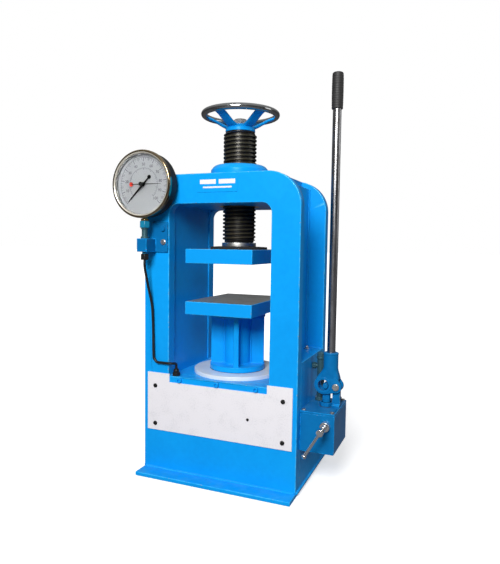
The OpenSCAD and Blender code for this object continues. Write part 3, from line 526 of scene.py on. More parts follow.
def dial_face(tree):
    """White dial with two rings of ticks. Angle is atan2(x, z) from the bottom left, and a tick
    shows where the angle lies close to a whole step and the radius between two rings."""
    at = add(tree, "Mapping", {"Vector": add(tree, "TexCoord", out="Object"),
                               "Location": (-GAUGE_X * MM, 0, -GAUGE_Z * MM)})
    xyz = tree.nodes.new("ShaderNodeSeparateXYZ")
    tree.links.new(at, xyz.inputs[0])
    x, z = xyz.outputs[0], xyz.outputs[2]
    radius = distance_of(tree, x, z)
    angle = math_of(tree, "MULTIPLY", math_of(tree, "ARCTAN2", x, z), 180 / math.pi)
    inside = math_of(tree, "LESS_THAN", math_of(tree, "ABSOLUTE", angle), SWEEP / 2 + 0.6)

    def ticks(step, half, inner, outer):
        """Mask of ticks every step degrees, each half millimetres to either side."""
        off = math_of(tree, "PINGPONG", math_of(tree, "SUBTRACT", angle, SCALE_START), step / 2)
        wide = math_of(tree, "MULTIPLY", math_of(tree, "MULTIPLY", off, radius), math.pi / 180)
        thin = math_of(tree, "LESS_THAN", wide, half * MM)
        band = math_of(tree, "MULTIPLY", math_of(tree, "GREATER_THAN", radius, inner * MM),
                       math_of(tree, "LESS_THAN", radius, outer * MM))
        return math_of(tree, "MULTIPLY", math_of(tree, "MULTIPLY", thin, band), inside)

    whole = 1e6                         # so wide that a tick closes into a ring
    ring = ticks(360.0, whole, 79.0, 79.9)
    for rule in ((5.4, 0.35, 73.5, 79.5), (27.0, 0.8, 68.0, 79.5), (13.5, 0.5, 70.5, 79.5),
                 (6.75, 0.3, 45.0, 48.5), (33.75, 0.6, 43.0, 48.5), (360.0, whole, 48.2, 48.9)):
        ring = math_of(tree, "MAXIMUM", ring, ticks(*rule))
    paper = mixed(tree, use(tree, MOTTLE, Scale=20.0), (0.66, 0.66, 0.70, 1),
                  (0.73, 0.73, 0.76, 1))
    return {"Base Color": mixed(tree, ring, paper, (0.12, 0.11, 0.18, 1)), "Roughness": 0.45,
            "Normal": use(tree, GRAIN, 1, Scale=700.0, Strength=0.03, Depth=0.0003)}


def clear_glass(tree):
    """Flat clear glass with faint smears."""
    return {"Base Color": (0.97, 0.99, 0.98, 1), "Transmission Weight": 1.0, "IOR": 1.1,
            "Roughness": ranged(tree, use(tree, MOTTLE, Scale=50.0), 0.4, 0.8, 0.0, 0.04)}


m = {name: material(name.replace("_", " "), paint) for name, paint in {
    "azure_enamel": enamel,
    # Edge enamel: worn, and paler partly as a painted edge highlight.
    "azure_edge_worn_lit": rubbed,
    "pump_edge_shaded_worn_lit": lambda tree: rubbed(tree, PUMP_BLUE_SHADED, AZURE),
    # Darker pump enamel: partly painted shade on the pump.
    "pump_enamel_shaded": lambda tree: enamel(tree, 0.1, PUMP_DEEP_SHADED, PUMP_BLUE_SHADED),
    "platen": platen_finish,
    "white_enamel": white_enamel,
    "ground_steel": steel_finish(0.22, 0.38, 420.0, (1.0, 1.0, 0.08), (0.42, 0.43, 0.44, 1),
                                 (0.72, 0.73, 0.74, 1)),
    # The gland ring's near-white, barely metallic colour is a painted reflection of the bright
    # surround on its polished steel.
    "ring_reflection_white": plain((0.70, 0.76, 0.80, 1), (0.84, 0.88, 0.90, 1), 0.32, 0.1, fine=500.0),
    "tube_steel": steel_finish(0.16, 0.42, 90.0, (1.0, 1.0, 0.05), (0.10, 0.10, 0.105, 1),
                               (0.50, 0.50, 0.51, 1), (0.16, 0.15, 0.14, 1)),
    # The rim's chrome is darkened as a painted dark reflection. The next chrome, lighter, is a
    # painted bright reflection on the release valve and tommy bar.
    "chrome": steel_finish(0.10, 0.20, 60.0, (1.0, 1.0, 1.0), (0.30, 0.31, 0.31, 1),
                           (0.46, 0.47, 0.47, 1)),
    "lit_chrome": steel_finish(0.05, 0.14, 60.0, (1.0, 1.0, 1.0), (0.66, 0.67, 0.68, 1),
                                  (0.84, 0.85, 0.86, 1)),
    "bezel_brass": steel_finish(0.10, 0.2, 300.0, (1.0, 0.2, 1.0), (0.22, 0.16, 0.09, 1),
                                (0.46, 0.36, 0.22, 1)),
    # Light cream of the bezel's inner lip: a painted highlight ring.
    "bezel_highlight_lip": plain((0.66, 0.62, 0.52, 1), (0.78, 0.74, 0.64, 1), 0.25, 0.5),
    "dial_ring": plain((0.50, 0.50, 0.52, 1), (0.58, 0.58, 0.60, 1), 0.5),
    "zinc": steel_finish(0.3, 0.45, 260.0, (1.0, 1.0, 1.0), (0.45, 0.46, 0.46, 1),
                         (0.66, 0.66, 0.65, 1), (0.40, 0.37, 0.30, 1)),
    "thread": thread_finish,
    "black_oxide": plain((0.012, 0.012, 0.013, 1), (0.03, 0.029, 0.028, 1), 0.36, 0.5),
    "black_enamel": plain((0.003, 0.003, 0.003, 1), (0.005, 0.005, 0.005, 1), 0.62),
    "grip_rubber": plain((0.012, 0.012, 0.012, 1), (0.024, 0.023, 0.023, 1), 0.55, fine=900.0,
                         relief=0.3),
    "bronze": plain((0.40, 0.25, 0.09, 1), (0.52, 0.36, 0.15, 1), 0.34, 1.0, fine=700.0),
    "brass": plain((0.55, 0.38, 0.14, 1), (0.70, 0.52, 0.24, 1), 0.28, 1.0, fine=700.0),
    "teal": plain((0.004, 0.17, 0.30, 1), (0.008, 0.24, 0.40, 1), 0.3, coat=0.2),
    "iron": plain((0.10, 0.11, 0.11, 1), (0.17, 0.18, 0.17, 1), 0.5, 0.6, relief=0.35),
    "valve_iron": plain((0.02, 0.075, 0.10, 1), (0.05, 0.13, 0.15, 1), 0.42, 0.3, relief=0.3),
    # Near-black for the ring on the platen's top: painted shade round the seat.
    "felt": plain((0.006, 0.006, 0.007, 1), (0.012, 0.012, 0.013, 1), 0.9, fine=1500.0,
                  relief=0.6),
    "dial_ink": plain((0.10, 0.09, 0.15, 1), (0.14, 0.13, 0.2, 1), 0.6),
    "red": plain((0.60, 0.03, 0.02, 1), (0.70, 0.05, 0.03, 1), 0.4, scale=80.0),
    "dial": dial_face,
    "glass": clear_glass,
}.items()}

kept_finish = {
    "ram_cylinder": "iron", "ram_seals": "grip_rubber", "ram": "ground_steel",
    "seat_liner": "bronze", "seat_dome": "ground_steel", "platen_stud": "zinc",
    "gauge_dial": "dial", "gauge_movement": "brass", "pump_cylinder": "iron",
    "plunger": "pump_enamel_shaded",
}
for name, finish in kept_finish.items():
    nodes[name].data.materials.clear()
    nodes[name].data.materials.append(m[finish])


# ---------------------------------------------------------------- frame

edge = m["azure_edge_worn_lit"]
for name, width in {"base_plate": 2.0, "front_plate": 2.6, "rear_plate": 2.6, "left_web": 1.5,
                    "right_web": 1.5, "left_side_box": 2.0, "right_side_box": 2.0,
                    "crosshead": 1.0, "bolster": 1.5}.items():
    softened(name, width, m["azure_enamel"], edge)
for name, width in {"gauge_bracket": 1.8, "pump_tank": 2.4, "tank_cover": 1.2,
                    "fulcrum_post": 1.2}.items():
    softened(name, width, m["pump_enamel_shaded"], m["pump_edge_shaded_worn_lit"])
softened("lower_platen", 1.8, m["platen"], edge)
softened("upper_platen", 1.8, m["platen"], edge)
softened("front_panel", 0.5, m["white_enamel"], m["white_enamel"])

# The front plate's faces and the sill of its window, then the insides that the welds follow.

low, high = span("front_plate")
FRONT, SIDE, TOP, SILL, LINTEL = low[1], high[0], high[2], 309.0, 790.0
plate_in = span("left_web")[1][1]
web_out, web_top = span("right_web")[1][0], span("right_web")[1][2]
shelf = span("right_side_box")[1][2]
floor_top = span("base_plate")[1][2]

beads = []
for s in (-1, 1):
    beads.append(bead((-SIDE + 4, s * -FRONT, floor_top), (SIDE - 4, s * -FRONT, floor_top), 5.0))
    beads.append(bead((s * SIDE, -plate_in - 30, floor_top),
                      (s * SIDE, plate_in + 30, floor_top), 4.5))
    beads.append(bead((s * web_out, -plate_in, shelf), (s * web_out, plate_in, shelf), 4.5))
    web_in = s * (web_out - 25)
    for t in (-1, 1):
        corner = (s * web_out, t * plate_in, shelf)
        beads.append(bead(corner, (s * web_out, t * plate_in, web_top), 5.0))
        beads.append(bead(corner, (s * (SIDE - 3), t * plate_in, shelf), 4.0))
        beads.append(bead((web_in, t * plate_in, SILL), (web_in, t * plate_in, LINTEL), 4.0))
ring = np.linspace(0, 2 * math.pi, 721)
housing_seam = span("nut_housing")[1][0] + 0.6
around = np.stack([housing_seam * np.cos(ring), housing_seam * np.sin(ring),
                   np.full(len(ring), TOP + 1.0)], -1)
beads.append(round_bar(around, 3.6 * (0.9 + 0.16 * np.abs(np.sin(ring * 90))), 10))
build("frame_weld_beads", beads, m["azure_enamel"], "front_plate")

NUT_R, NUT_LOW, NUT_TOP = 64.0, 835.0, TOP + 39
build("nut_housing_turned", [turned(rounded([
    (NUT_R, TOP), (91, TOP), (91, TOP + 24), (82, TOP + 35), (74, NUT_TOP), (NUT_R, NUT_TOP),
    (NUT_R, TOP)], 3.5))],
    m["azure_enamel"], "nut_housing", ["nut_housing"])
BORE = CREST + RUNNING_GAP
build("screw_nut_turned", [turned(rounded([
    (BORE, NUT_LOW), (NUT_R, NUT_LOW), (NUT_R, NUT_TOP), (BORE, NUT_TOP), (BORE, NUT_LOW)], 1.2))],
    m["bronze"], "screw_nut", ["screw_nut"])
RAM_BORE, LEDGE, RING_TOP = 80.0 + RUNNING_GAP, SILL + 6, SILL + 12
build("gland_ring_turned", [turned(rounded([
    (RAM_BORE, SILL), (138, SILL), (138, RING_TOP), (88, RING_TOP), (88, LEDGE),
    (RAM_BORE, LEDGE), (RAM_BORE, SILL)], 1.2), count=160)],
    m["ring_reflection_white"], "gland_ring", ["gland_ring"])

# Spacer: two flanges on a round core, with four ribs between them and a weld along each corner.
RAM_TOP, LOWER_Z = span("spacer")[0][2], span("spacer")[1][2]
SPACER_R, CORE_R, FLANGE, RIB, SEAM_R = 88.0, 42.0, 16.0, 8.0, 3.2
RIB_FROM, RIB_TO = 30.0, SPACER_R - 3
seams = (RAM_TOP + FLANGE, LOWER_Z - FLANGE)
up = np.array([0.0, 0, 1])
parts = [turned(rounded([(0, z), (SPACER_R, z), (SPACER_R, z + FLANGE), (0, z + FLANGE)], 2.0))
         for z in (RAM_TOP, LOWER_Z - FLANGE)]
parts.append(turned([(0, RAM_TOP + 2), (CORE_R, RAM_TOP + 2), (CORE_R, LOWER_Z - 2),
                     (0, LOWER_Z - 2)]))
for k in range(4):
    a = math.radians(20 + 90 * k)
    out, side = np.array([math.cos(a), math.sin(a), 0]), np.array([-math.sin(a), math.cos(a), 0])
    rib = outline((RIB_TO - RIB_FROM) / 2, RIB, 2.0)
    edge_line = (rib[:, :1] + (RIB_TO + RIB_FROM) / 2) * out + rib[:, 1:] * side
    middle = np.broadcast_to(edge_line.mean(0), edge_line.shape)
    rib_low, rib_high = up * (RAM_TOP + 4), up * (LOWER_Z - 4)
    parts.append(np.stack([middle + rib_low, edge_line + rib_low, edge_line + rib_high,
                           middle + rib_high]))
    for s in (-1, 1):
        foot = out * (CORE_R + 0.5) + side * s * RIB
        parts.append(bead(foot + up * seams[0], foot + up * seams[1], SEAM_R))
        for z_seam in seams:
            parts.append(bead(out * CORE_R + side * s * RIB + up * z_seam,
                              out * (SPACER_R - 4) + side * s * RIB + up * z_seam, SEAM_R))
t = np.linspace(0, 2 * math.pi, 401)
for z_seam in seams:
    seam = np.stack([CORE_R * np.cos(t), CORE_R * np.sin(t), np.full(len(t), z_seam)], -1)
    parts.append(round_bar(seam, SEAM_R * (0.9 + 0.16 * np.abs(np.sin(t * 40))), 10))
build("spacer_welded", parts, m["azure_enamel"], "spacer", ["spacer"])


# ---------------------------------------------------------------- screw and handwheel


def threaded(low_z, high_z, crest, root, pitch, count=96):
    """Screw thread as a grid that follows the helix: z = pitch (k + f + t / turn), r = root +
    share(f) (crest - root), where f runs over one pitch and share is the ridge's height there.
    The ridge fades out over the last third of a pitch at either end."""
    f = np.array([0.0, 0.10, 0.13, 0.30, 0.34, 0.66, 0.70, 0.87, 0.90])
    share = np.array([0.0, 0.0, 0.06, 0.95, 1.0, 1.0, 0.95, 0.06, 0.0])
    turns = int((high_z - low_z) / pitch) + 2
    along = (np.arange(-1, turns)[:, None] + f).ravel()[:, None]
    rise = np.tile(share, turns + 1)[:, None]
    t = np.linspace(0, 1, count + 1)[None, :]
    z = low_z + pitch * (along + t)
    fade = np.clip(np.minimum(z - low_z - 4, high_z - 4 - z) / (pitch / 3), 0, 1)
    r = root + rise * fade * (crest - root)
    z = np.clip(z, low_z, high_z)
    angle = 2 * math.pi * t
    return np.stack([r * np.cos(angle), r * np.sin(angle), z], -1)


def capped(grid, low_profile, high_profile):
    """A grid with level rings (r, z) added before its first row and after its last."""
    t = np.linspace(0, 2 * math.pi, grid.shape[1])[None, :, None]
    rings = []
    for profile in (low_profile, high_profile):
        p = np.asarray(profile, float)[:, None, :]
        r, h = p[..., :1], np.broadcast_to(p[..., 1:], (len(p), grid.shape[1], 1))
        rings.append(np.concatenate([r * np.cos(t), r * np.sin(t), h], -1))
    return np.concatenate([rings[0], grid, rings[1]])


screw_low, screw_high = span("screw")
THREAD_TOP = span("handwheel_hub")[0][2]
rim_low, rim_high = span("handwheel_rim")
RIM_Z, RIM_BAR = (rim_low[2] + rim_high[2]) / 2, (rim_high[2] - rim_low[2]) / 2
RIM_R = rim_high[0] - RIM_BAR
thread = threaded(screw_low[2], THREAD_TOP, CREST, ROOT, PITCH)
thread = capped(thread, [(0, screw_low[2]), (ROOT - 3, screw_low[2]), (ROOT, screw_low[2] + 2)],
                [(ROOT, THREAD_TOP - 1), (ROOT - 1, THREAD_TOP), (SPIGOT_R, THREAD_TOP),
                 (SPIGOT_R, screw_high[2] - 1.5), (SPIGOT_R - 1.5, screw_high[2]),
                 (0, screw_high[2])])
build("screw_threaded", [thread], m["thread"], "screw", ["screw"], sharp=30)

HUB_TOP = THREAD_TOP + 22
hub = turned(rounded([(SPIGOT_R, THREAD_TOP), (45.5, THREAD_TOP), (47, THREAD_TOP + 2),
                      (46, THREAD_TOP + 12), (40, HUB_TOP - 0.5), (31, HUB_TOP),
                      (SPIGOT_R, HUB_TOP), (SPIGOT_R, THREAD_TOP)], 3.0))


def spoke(turn):
    """Flat spoke that rises from the hub to the rim on an S curve: half width 16 mm, flared where
    it meets either end, and a superellipse section 11 mm thick at the hub and 8 at the rim."""
    s = np.linspace(0, 1, 25)
    out = 34 + (RIM_R - 36) * s
    from_z, to_z = THREAD_TOP + 15, RIM_Z - 3
    rise = from_z + (to_z - from_z) * (s * s * (3 - 2 * s) * 0.55 + s * 0.45)
    a = math.radians(turn)
    path = np.stack([out * math.cos(a), out * math.sin(a), rise], -1)
    half = 16.0 + 5 * np.exp(-s * 14) + 6 * np.exp((s - 1) * 16)
    thick = 5.5 - 1.5 * s
    t = np.linspace(0, 2 * math.pi, 28, endpoint=False)[None, :]
    wide = np.sign(np.cos(t)) * np.abs(np.cos(t)) ** 0.45
    deep = np.sign(np.sin(t)) * np.abs(np.sin(t)) ** 0.7
    return swept(path, half[:, None] * wide, thick[:, None] * deep, side=(0, 0, 1))


SPOKES, FIRST_SPOKE = 5, 112            # in degrees from +X
build("handwheel_hub_and_spokes",
      [hub] + [spoke(FIRST_SPOKE + 360 / SPOKES * i) for i in range(SPOKES)],
      m["azure_enamel"], "handwheel_hub", ["handwheel_hub"])
round_rim = np.linspace(0, 2 * math.pi, 33)
build("handwheel_rim_polished", [turned(np.stack([
    RIM_R + RIM_BAR * np.cos(round_rim), RIM_Z + RIM_BAR * np.sin(round_rim)], -1), count=160)],
    m["chrome"], "handwheel_rim", ["handwheel_rim"])
NUT_BORE, WASHER_TOP = SPIGOT_R + 0.2, HUB_TOP + 3
build("wheel_nut_turned", [
    turned(rounded([(NUT_BORE, HUB_TOP), (27, HUB_TOP), (27, WASHER_TOP), (NUT_BORE, WASHER_TOP),
                    (NUT_BORE, HUB_TOP)], 0.8)),
    hexagon(26, WASHER_TOP, WASHER_TOP + 12, bore=NUT_BORE, chamfer=2.2)],
    m["zinc"], "wheel_nut", ["wheel_nut"])

# Seat: the cup is hollowed to a ball about a point in the middle of the platen's underside.
SEAT_Z, BALL_R, CUP_HOLE, CUP_LIP = 658.0, 60.0 + RUNNING_GAP, 13.5, 37.4
ball = np.linspace(math.asin(CUP_LIP / BALL_R), math.asin(CUP_HOLE / BALL_R), 9)
cup = rounded([(CUP_HOLE, 721.6), (54, 721.6), (54, 705), (CUP_LIP, 705)], 1.5)
hollow = np.stack([BALL_R * np.sin(ball), SEAT_Z + BALL_R * np.cos(ball)], -1)
cup = np.concatenate([cup, hollow, cup[:1]])
build("seat_cup_turned", [turned(cup)], m["zinc"], "seat_cup", ["seat_cup"])
# A black ring on the upper platen's top round the cup: painted shade where the seat shades the
# platen.
build("seat_shade_ring", [turned(rounded([
    (60, 701), (90, 701), (90, 708.5), (62, 710), (60, 709), (60, 701)], 1.2))],
    m["felt"], "upper_platen")


# ---------------------------------------------------------------- gauge

gauge_axis = dict(origin=(GAUGE_X, 0, GAUGE_Z), direction=(0, 1, 0))
build("gauge_case_spun", [turned(rounded([
    (0, -163), (30, -163), (31, -164.2), (90, -164.2), (96, -170), (96, -213), (93, -213),
    (93, -167), (0, -167)], 3.0), count=128, **gauge_axis)],
    m["black_enamel"], "gauge_case", ["gauge_case"])
build("gauge_bezel_rolled", [turned(rounded([
    (90, -212), (90, -217.2), (92.4, -219.4), (95.5, -220), (98.4, -219), (100, -216.4),
    (100, -207), (98.6, -204.6), (96.2, -204), (96.2, -212), (90, -212)], 1.4),
    count=160, **gauge_axis)],
    m["bezel_brass"], "gauge_bezel", ["gauge_bezel"])
# Inner lip of the bezel in a lighter colour than the bezel: a painted highlight.
build("gauge_bezel_highlight_lip", [turned(rounded([
    (89.6, -212.4), (89.6, -217.6), (91.2, -219.0), (93.4, -219.9), (92.6, -217), (91.4, -212.4),
    (89.6, -212.4)], 0.5), count=160, **gauge_axis)], m["bezel_highlight_lip"], "gauge_bezel")
build("gauge_dial_ring", [turned(rounded([
    (88.6, -211.9), (92.9, -211.9), (92.9, -202.0), (88.6, -202.0), (88.6, -211.9)], 0.4),
    count=128, **gauge_axis)], m["dial_ring"], "gauge_dial")
build("gauge_glass_flat", [turned([
    (3.05, -215), (92.8, -215), (92.8, -212), (3.05, -212), (3.05, -215)], count=96, **gauge_axis)],
    m["glass"], "gauge_glass", ["gauge_glass"])
centre, TAIL = (GAUGE_X, GAUGE_Z), 30.0
build("load_pointer_blade", [
    blade([-TAIL, -26, 0, 12, 55, 72], [1.6, 1.7, 2.6, 3.0, 1.5, 0.4], SCALE_START, -205.2, -204.0,
          centre),
    turned(rounded([(0, -205.6), (6.5, -205.6), (6.5, -203.8), (0, -203.8)], 0.5), **gauge_axis),
    turned(rounded([(0, -205.2), (6, -205.2), (6, -204), (0, -204)], 0.3), direction=(0, 1, 0),
           origin=(GAUGE_X + TAIL * math.sin(math.pi / 4), 0,
                   GAUGE_Z + TAIL * math.cos(math.pi / 4)), count=48),
    turned([(0, -205), (2, -205), (2, -193), (0, -193)], count=24, **gauge_axis)],
    m["black_oxide"], "load_pointer", ["load_pointer"])
build("maximum_pointer_blade", [
    blade([-36, 0, 10, 64], [1.0, 1.5, 1.6, 0.4], 90, -210.4, -209.4, centre),
    turned(rounded([(0, -210.6), (5, -210.6), (5, -209.2), (0, -209.2)], 0.4), count=48,
           **gauge_axis)],
    m["black_oxide"], "maximum_pointer", ["maximum_pointer"])
build("maximum_pointer_red_disc", [turned(rounded([
    (0, -210.4), (6.5, -210.4), (6.5, -209.2), (0, -209.2)], 0.3), direction=(0, 1, 0),
    origin=(GAUGE_X - 38, 0, GAUGE_Z), count=48)], m["red"], "maximum_pointer")
build("reset_knob_knurled", [turned(rounded([
    (0, -220), (6, -220), (6, -215.4), (3, -215.4), (3, -210.4), (0, -210.4)], 0.5), count=96,
    ripple=(0.5, 24, -219.4, -215.6), **gauge_axis)],
    m["black_enamel"], "reset_knob", ["reset_knob"])

stem_at = (GAUGE_X, -195.0, 0)
build("gauge_stem_turned", [
    hexagon(13, 782, 789, stem_at),
    turned(rounded([(0, 788), (8, 788), (8, 794), (5, 795), (5, 820), (0, 820)], 0.6), stem_at)],
    m["brass"], "gauge_stem", ["gauge_stem"])
build("gauge_fitting_turned", [
    hexagon(16, 762, 782, stem_at, chamfer=2.0),
    turned(rounded([(0, 684), (8, 684), (8, 731), (0, 731)], 0.8), stem_at)],
    m["teal"], "gauge_fitting", ["gauge_fitting"])
build("gauge_fitting_waist", [turned(rounded([
    (0, 730), (12, 730), (12, 735), (9, 737), (9, 757), (11.5, 759), (11.5, 762), (0, 762)], 0.8),
    stem_at)], m["valve_iron"], "gauge_fitting")
for name, z, finish, stands_for in (
        ("bracket_bolt_lower", 720, "zinc", ["bracket_bolts"]),
        ("bracket_bolt_upper", 760, "pump_enamel_shaded", ())):
    bolt_at = (-180, 0, z)
    build(name, [hexagon(7.5, -167.6, -163.4, bolt_at, (0, 1, 0), 1.0),
                 turned(rounded([(0, -163.4), (9, -163.4), (9, -162), (0, -162)], 0.4), bolt_at,
                        (0, 1, 0), 48)],
          m[finish], "bracket_bolts", stands_for)

TUBE_X, TUBE_Y, TUBE_R = -145, -141, 4.0    # lower end and radius of the tube
tube_foot = (TUBE_X, TUBE_Y, 0)
build("tube_nuts_turned", [
    hexagon(13, 666, 684, stem_at, chamfer=2.0, bore=TUBE_R),
    hexagon(13, SILL, SILL + 10, tube_foot, chamfer=1.6),
    turned(rounded([(0, SILL + 9), (9, SILL + 9), (9, SILL + 18), (6, SILL + 22), (0, SILL + 22)],
                   1.2), tube_foot)], m["black_oxide"], "tube_nuts", ["tube_nuts"])
route = [(GAUGE_X, -195, 672), (GAUGE_X, -195, 644), (-222, -181, 590), (-217, -163, 510),
         (-213, -163, 375), (-210, -163, 361), (-202, -163, 351.5), (-190, -163, 350),
         (-157, -163, 350), (-148, -157, 349.4), (TUBE_X, -146, 347), (TUBE_X, TUBE_Y, 342),
         (TUBE_X, TUBE_Y, 331)]
tube = smooth_path(route, 10)
build("pressure_tube_bent", [round_bar(tube, TUBE_R, 20)], m["black_oxide"], "pressure_tube",
      ["pressure_tube"], sharp=60)

bleed_at = (206, 86, 0)
build("bleed_screw", [
    hexagon(8, shelf, shelf + 5, bleed_at, chamfer=0.8),
    turned(rounded([(0, shelf + 4), (5, shelf + 4), (5, shelf + 10), (0, shelf + 13)], 2.0),
           bleed_at, count=48)], m["zinc"], "right_side_box")


def numerals(rows, front, back):
    """Dial numbers as thin solids: each is a text outline turned to face the front, centred on its
    own place (x, z) and made a mesh before it is put there."""
    points, faces = [], []
    for words, x, z, size in rows:
        curve = bpy.data.curves.new("numeral", "FONT")
        curve.body, curve.size, curve.extrude = words, size, (back - front) / 2
        curve.align_x, curve.align_y, curve.resolution_u = "CENTER", "CENTER", 3
        holder = bpy.data.objects.new("numeral", curve)
        mesh = bpy.data.meshes.new_from_object(holder)
        flat = np.array([v.co for v in mesh.vertices])
        faces += [tuple(i + sum(map(len, points)) for i in f.vertices) for f in mesh.polygons]
        points.append(np.stack([x + flat[:, 0], (front + back) / 2 - flat[:, 2],
                                z + flat[:, 1]], -1))
        bpy.data.objects.remove(holder)
        bpy.data.meshes.remove(mesh)
        bpy.data.curves.remove(curve)
    mesh = bpy.data.meshes.new("gauge_dial_numerals")
    mesh.from_pydata((np.concatenate(points) * MM).tolist(), [], faces)
    tidy_mesh(mesh)
    mesh.materials.append(m["dial_ink"])
    piece = bpy.data.objects.new("gauge_dial_numerals", mesh)
    bpy.context.scene.collection.objects.link(piece)
    place(piece, "gauge_dial", ())


NUMERAL_R, NUMERAL_SIZE, STEPS = 59.0, 12.0, 10
marks = [(i * 10, math.radians(SCALE_START + SWEEP / STEPS * i)) for i in range(STEPS + 1)]
numerals([(str(v), GAUGE_X + NUMERAL_R * math.sin(a), GAUGE_Z + NUMERAL_R * math.cos(a),
           NUMERAL_SIZE) for v, a in marks], -202.25, -201.9)


# ---------------------------------------------------------------- panel, bolts and plate


def cap_head(x, z, radius, tip, seat, socket, deep, count=48):
    """Socket head facing the front: a turned head with a hexagonal recess."""
    out = rounded([(socket, tip), (radius * 0.9, tip), (radius, tip + radius * 0.1), (radius, seat),
                   (0, seat)], 0.6)
    recess = turned([(0, tip + deep), (socket, tip + deep), (socket, tip)], (x, 0, z), (0, 1, 0),
                    count, socket * math.cos(math.pi / 6))
    return np.concatenate([recess, turned(out, (x, 0, z), (0, 1, 0), count)])


build("bolster_bolts_turned", [cap_head(x, SILL - 9.5, 8, FRONT - 8, FRONT + 1, 4.6, 5)
                               for x in (-125, 0, 125)],
      m["azure_enamel"], "bolster_bolts", ["bolster_bolts"])
panel_front = span("front_panel")[0][1]
PANEL_SCREWS = [(-209, 156, 6.5), (209, 156, 6.5), (-209, 275, 6.5), (209, 275, 6.5), (102, 209, 4)]
build("panel_screws_turned", [cap_head(x, z, r, panel_front - 3, panel_front + 1, r * 0.45, 1.6)
                              for x, z, r in PANEL_SCREWS],
      m["black_oxide"], "panel_screws", ["panel_screws"])
build("nameplate_ground", [plaque((-4.0, 889.5), 65, 22.5, FRONT - 1.2, FRONT + 0.2, 4, 0.3)],
      m["azure_enamel"], "nameplate", ["nameplate"], sharp=15)
BARS = (((-34, 897), 26, 6.5, 1.6), ((27, 897), 26, 6.5, 1.6), ((-4, 881), 46, 2.4, 1.2))
build("nameplate_blank_bars", [
    plaque(at, half_x, half_z, FRONT - 1.5, FRONT - 1.0, corner, 0.15)
    for at, half_x, half_z, corner in BARS],
    m["white_enamel"], "nameplate")


# ---------------------------------------------------------------- pump and lever

# Places (x, z) of the plunger's pin, the fulcrum and the release valve. PUMP_Y is the middle of
# the pump and lever, and the lever's two cheeks lie between CHEEK_FRONT and CHEEK_BACK.
PIN_X, PIN_Z, PIN_R = 307, 308, 7.0
FULCRUM_X, FULCRUM_Z = 337, 308
VALVE_X, VALVE_Z, VALVE_Y = 325, 212, -185
PUMP_Y, CHEEK_FRONT, CHEEK_BACK, CHEEK = -48.0, -66, -30, 10
DELIVERY_X, delivery_z = 276, shelf - 30

cover_top = span("tank_cover")[1][2]
build("cover_bolts_turned", [hexagon(6, cover_top, cover_top + 4.5, (x, y, 0), chamfer=0.9)
                             for x in (259, 341) for y in (-119, 23)],
      m["zinc"], "cover_bolts", ["cover_bolts"])
build("filler_cap_knurled", [turned(rounded([
    (0, cover_top - 8), (9, cover_top - 8), (9, cover_top), (14, cover_top), (14, cover_top + 13),
    (9, cover_top + 13), (8, cover_top + 12), (0, cover_top + 12)], 1.2, 3), (326, 8, 0), count=180,
    ripple=(0.9, 36, cover_top + 1.5, cover_top + 11))],
    m["black_enamel"], "filler_cap", ["filler_cap"])
GLAND_BORE, GLAND_R, BEVEL_R, BEVEL_H, GLAND_H = 12.1, 21.2, 17.6, 1.6, 12
low_bevel = np.stack([np.linspace(BEVEL_R, GLAND_R, 5), cover_top + np.linspace(0, BEVEL_H, 5)], -1)
high_bevel = np.stack([np.linspace(GLAND_R, BEVEL_R, 5),
                       cover_top + np.linspace(GLAND_H - BEVEL_H, GLAND_H, 5)], -1)
build("gland_nut_turned", [turned(np.concatenate([
    [(GLAND_BORE, cover_top)], low_bevel, high_bevel,
    [(GLAND_BORE, cover_top + GLAND_H), (GLAND_BORE, cover_top)]]), (PIN_X, PUMP_Y, 0), count=72,
    apothem=GLAND_R * math.cos(math.pi / 6))], m["pump_enamel_shaded"], "gland_nut", ["gland_nut"])
build("delivery_valve_turned", [
    turned(rounded([(0, cover_top), (15, cover_top), (15, cover_top + 6), (11, cover_top + 9),
                    (11, shelf - 9), (13, shelf - 7), (13, shelf), (0, shelf)], 1.2),
           (DELIVERY_X, 0, 0)),
    hexagon(12, shelf, shelf + 12, (DELIVERY_X, 0, 0), chamfer=1.6),
    turned(rounded([(0, 238), (6, 238), (6, DELIVERY_X), (0, DELIVERY_X)], 0.5),
           (0, 0, delivery_z), (1, 0, 0), 48),
    hexagon(10, 251, 262, (0, 0, delivery_z), (1, 0, 0), 1.2)],
    m["valve_iron"], "delivery_valve", ["delivery_valve"])
build("plunger_pin_turned", [turned(rounded([
    (0, CHEEK_FRONT), (PIN_R, CHEEK_FRONT), (PIN_R, CHEEK_BACK), (0, CHEEK_BACK)], 1.2),
    (PIN_X, 0, PIN_Z), (0, 1, 0), 64)], m["pump_enamel_shaded"], "plunger_pin", ["plunger_pin"])
build("fulcrum_pin_turned", [turned(rounded([
    (0, -70), (9.2, -70), (10.5, -68.8), (10.5, CHEEK_FRONT), (PIN_R, CHEEK_FRONT),
    (PIN_R, CHEEK_BACK), (10.5, CHEEK_BACK), (10.5, -27), (0, -27)], 0.7),
    (FULCRUM_X, 0, FULCRUM_Z), (0, 1, 0), 64)], m["zinc"], "fulcrum_pin", ["fulcrum_pin"])

LEVER = (318.0, PUMP_Y, 0)
lever_low, lever_high = span("lever_tube")
grip_low, grip_high = span("lever_grip")
TUBE_IN, TUBE_OUT, tube_end = 8.3, 12.3, lever_high[2] - 0.2
build("lever_tube_drawn", [turned(rounded([
    (TUBE_IN, lever_low[2]), (TUBE_OUT, lever_low[2]), (TUBE_OUT, tube_end), (TUBE_IN, tube_end),
    (TUBE_IN, lever_low[2])], 0.4), LEVER, count=64)],
    m["tube_steel"], "lever_tube", ["lever_tube"])
socket_top = span("lever_socket")[1][2]
EYE_X, EYE_Z, EYE_HOLE = 300.8, 311.0, 16.0


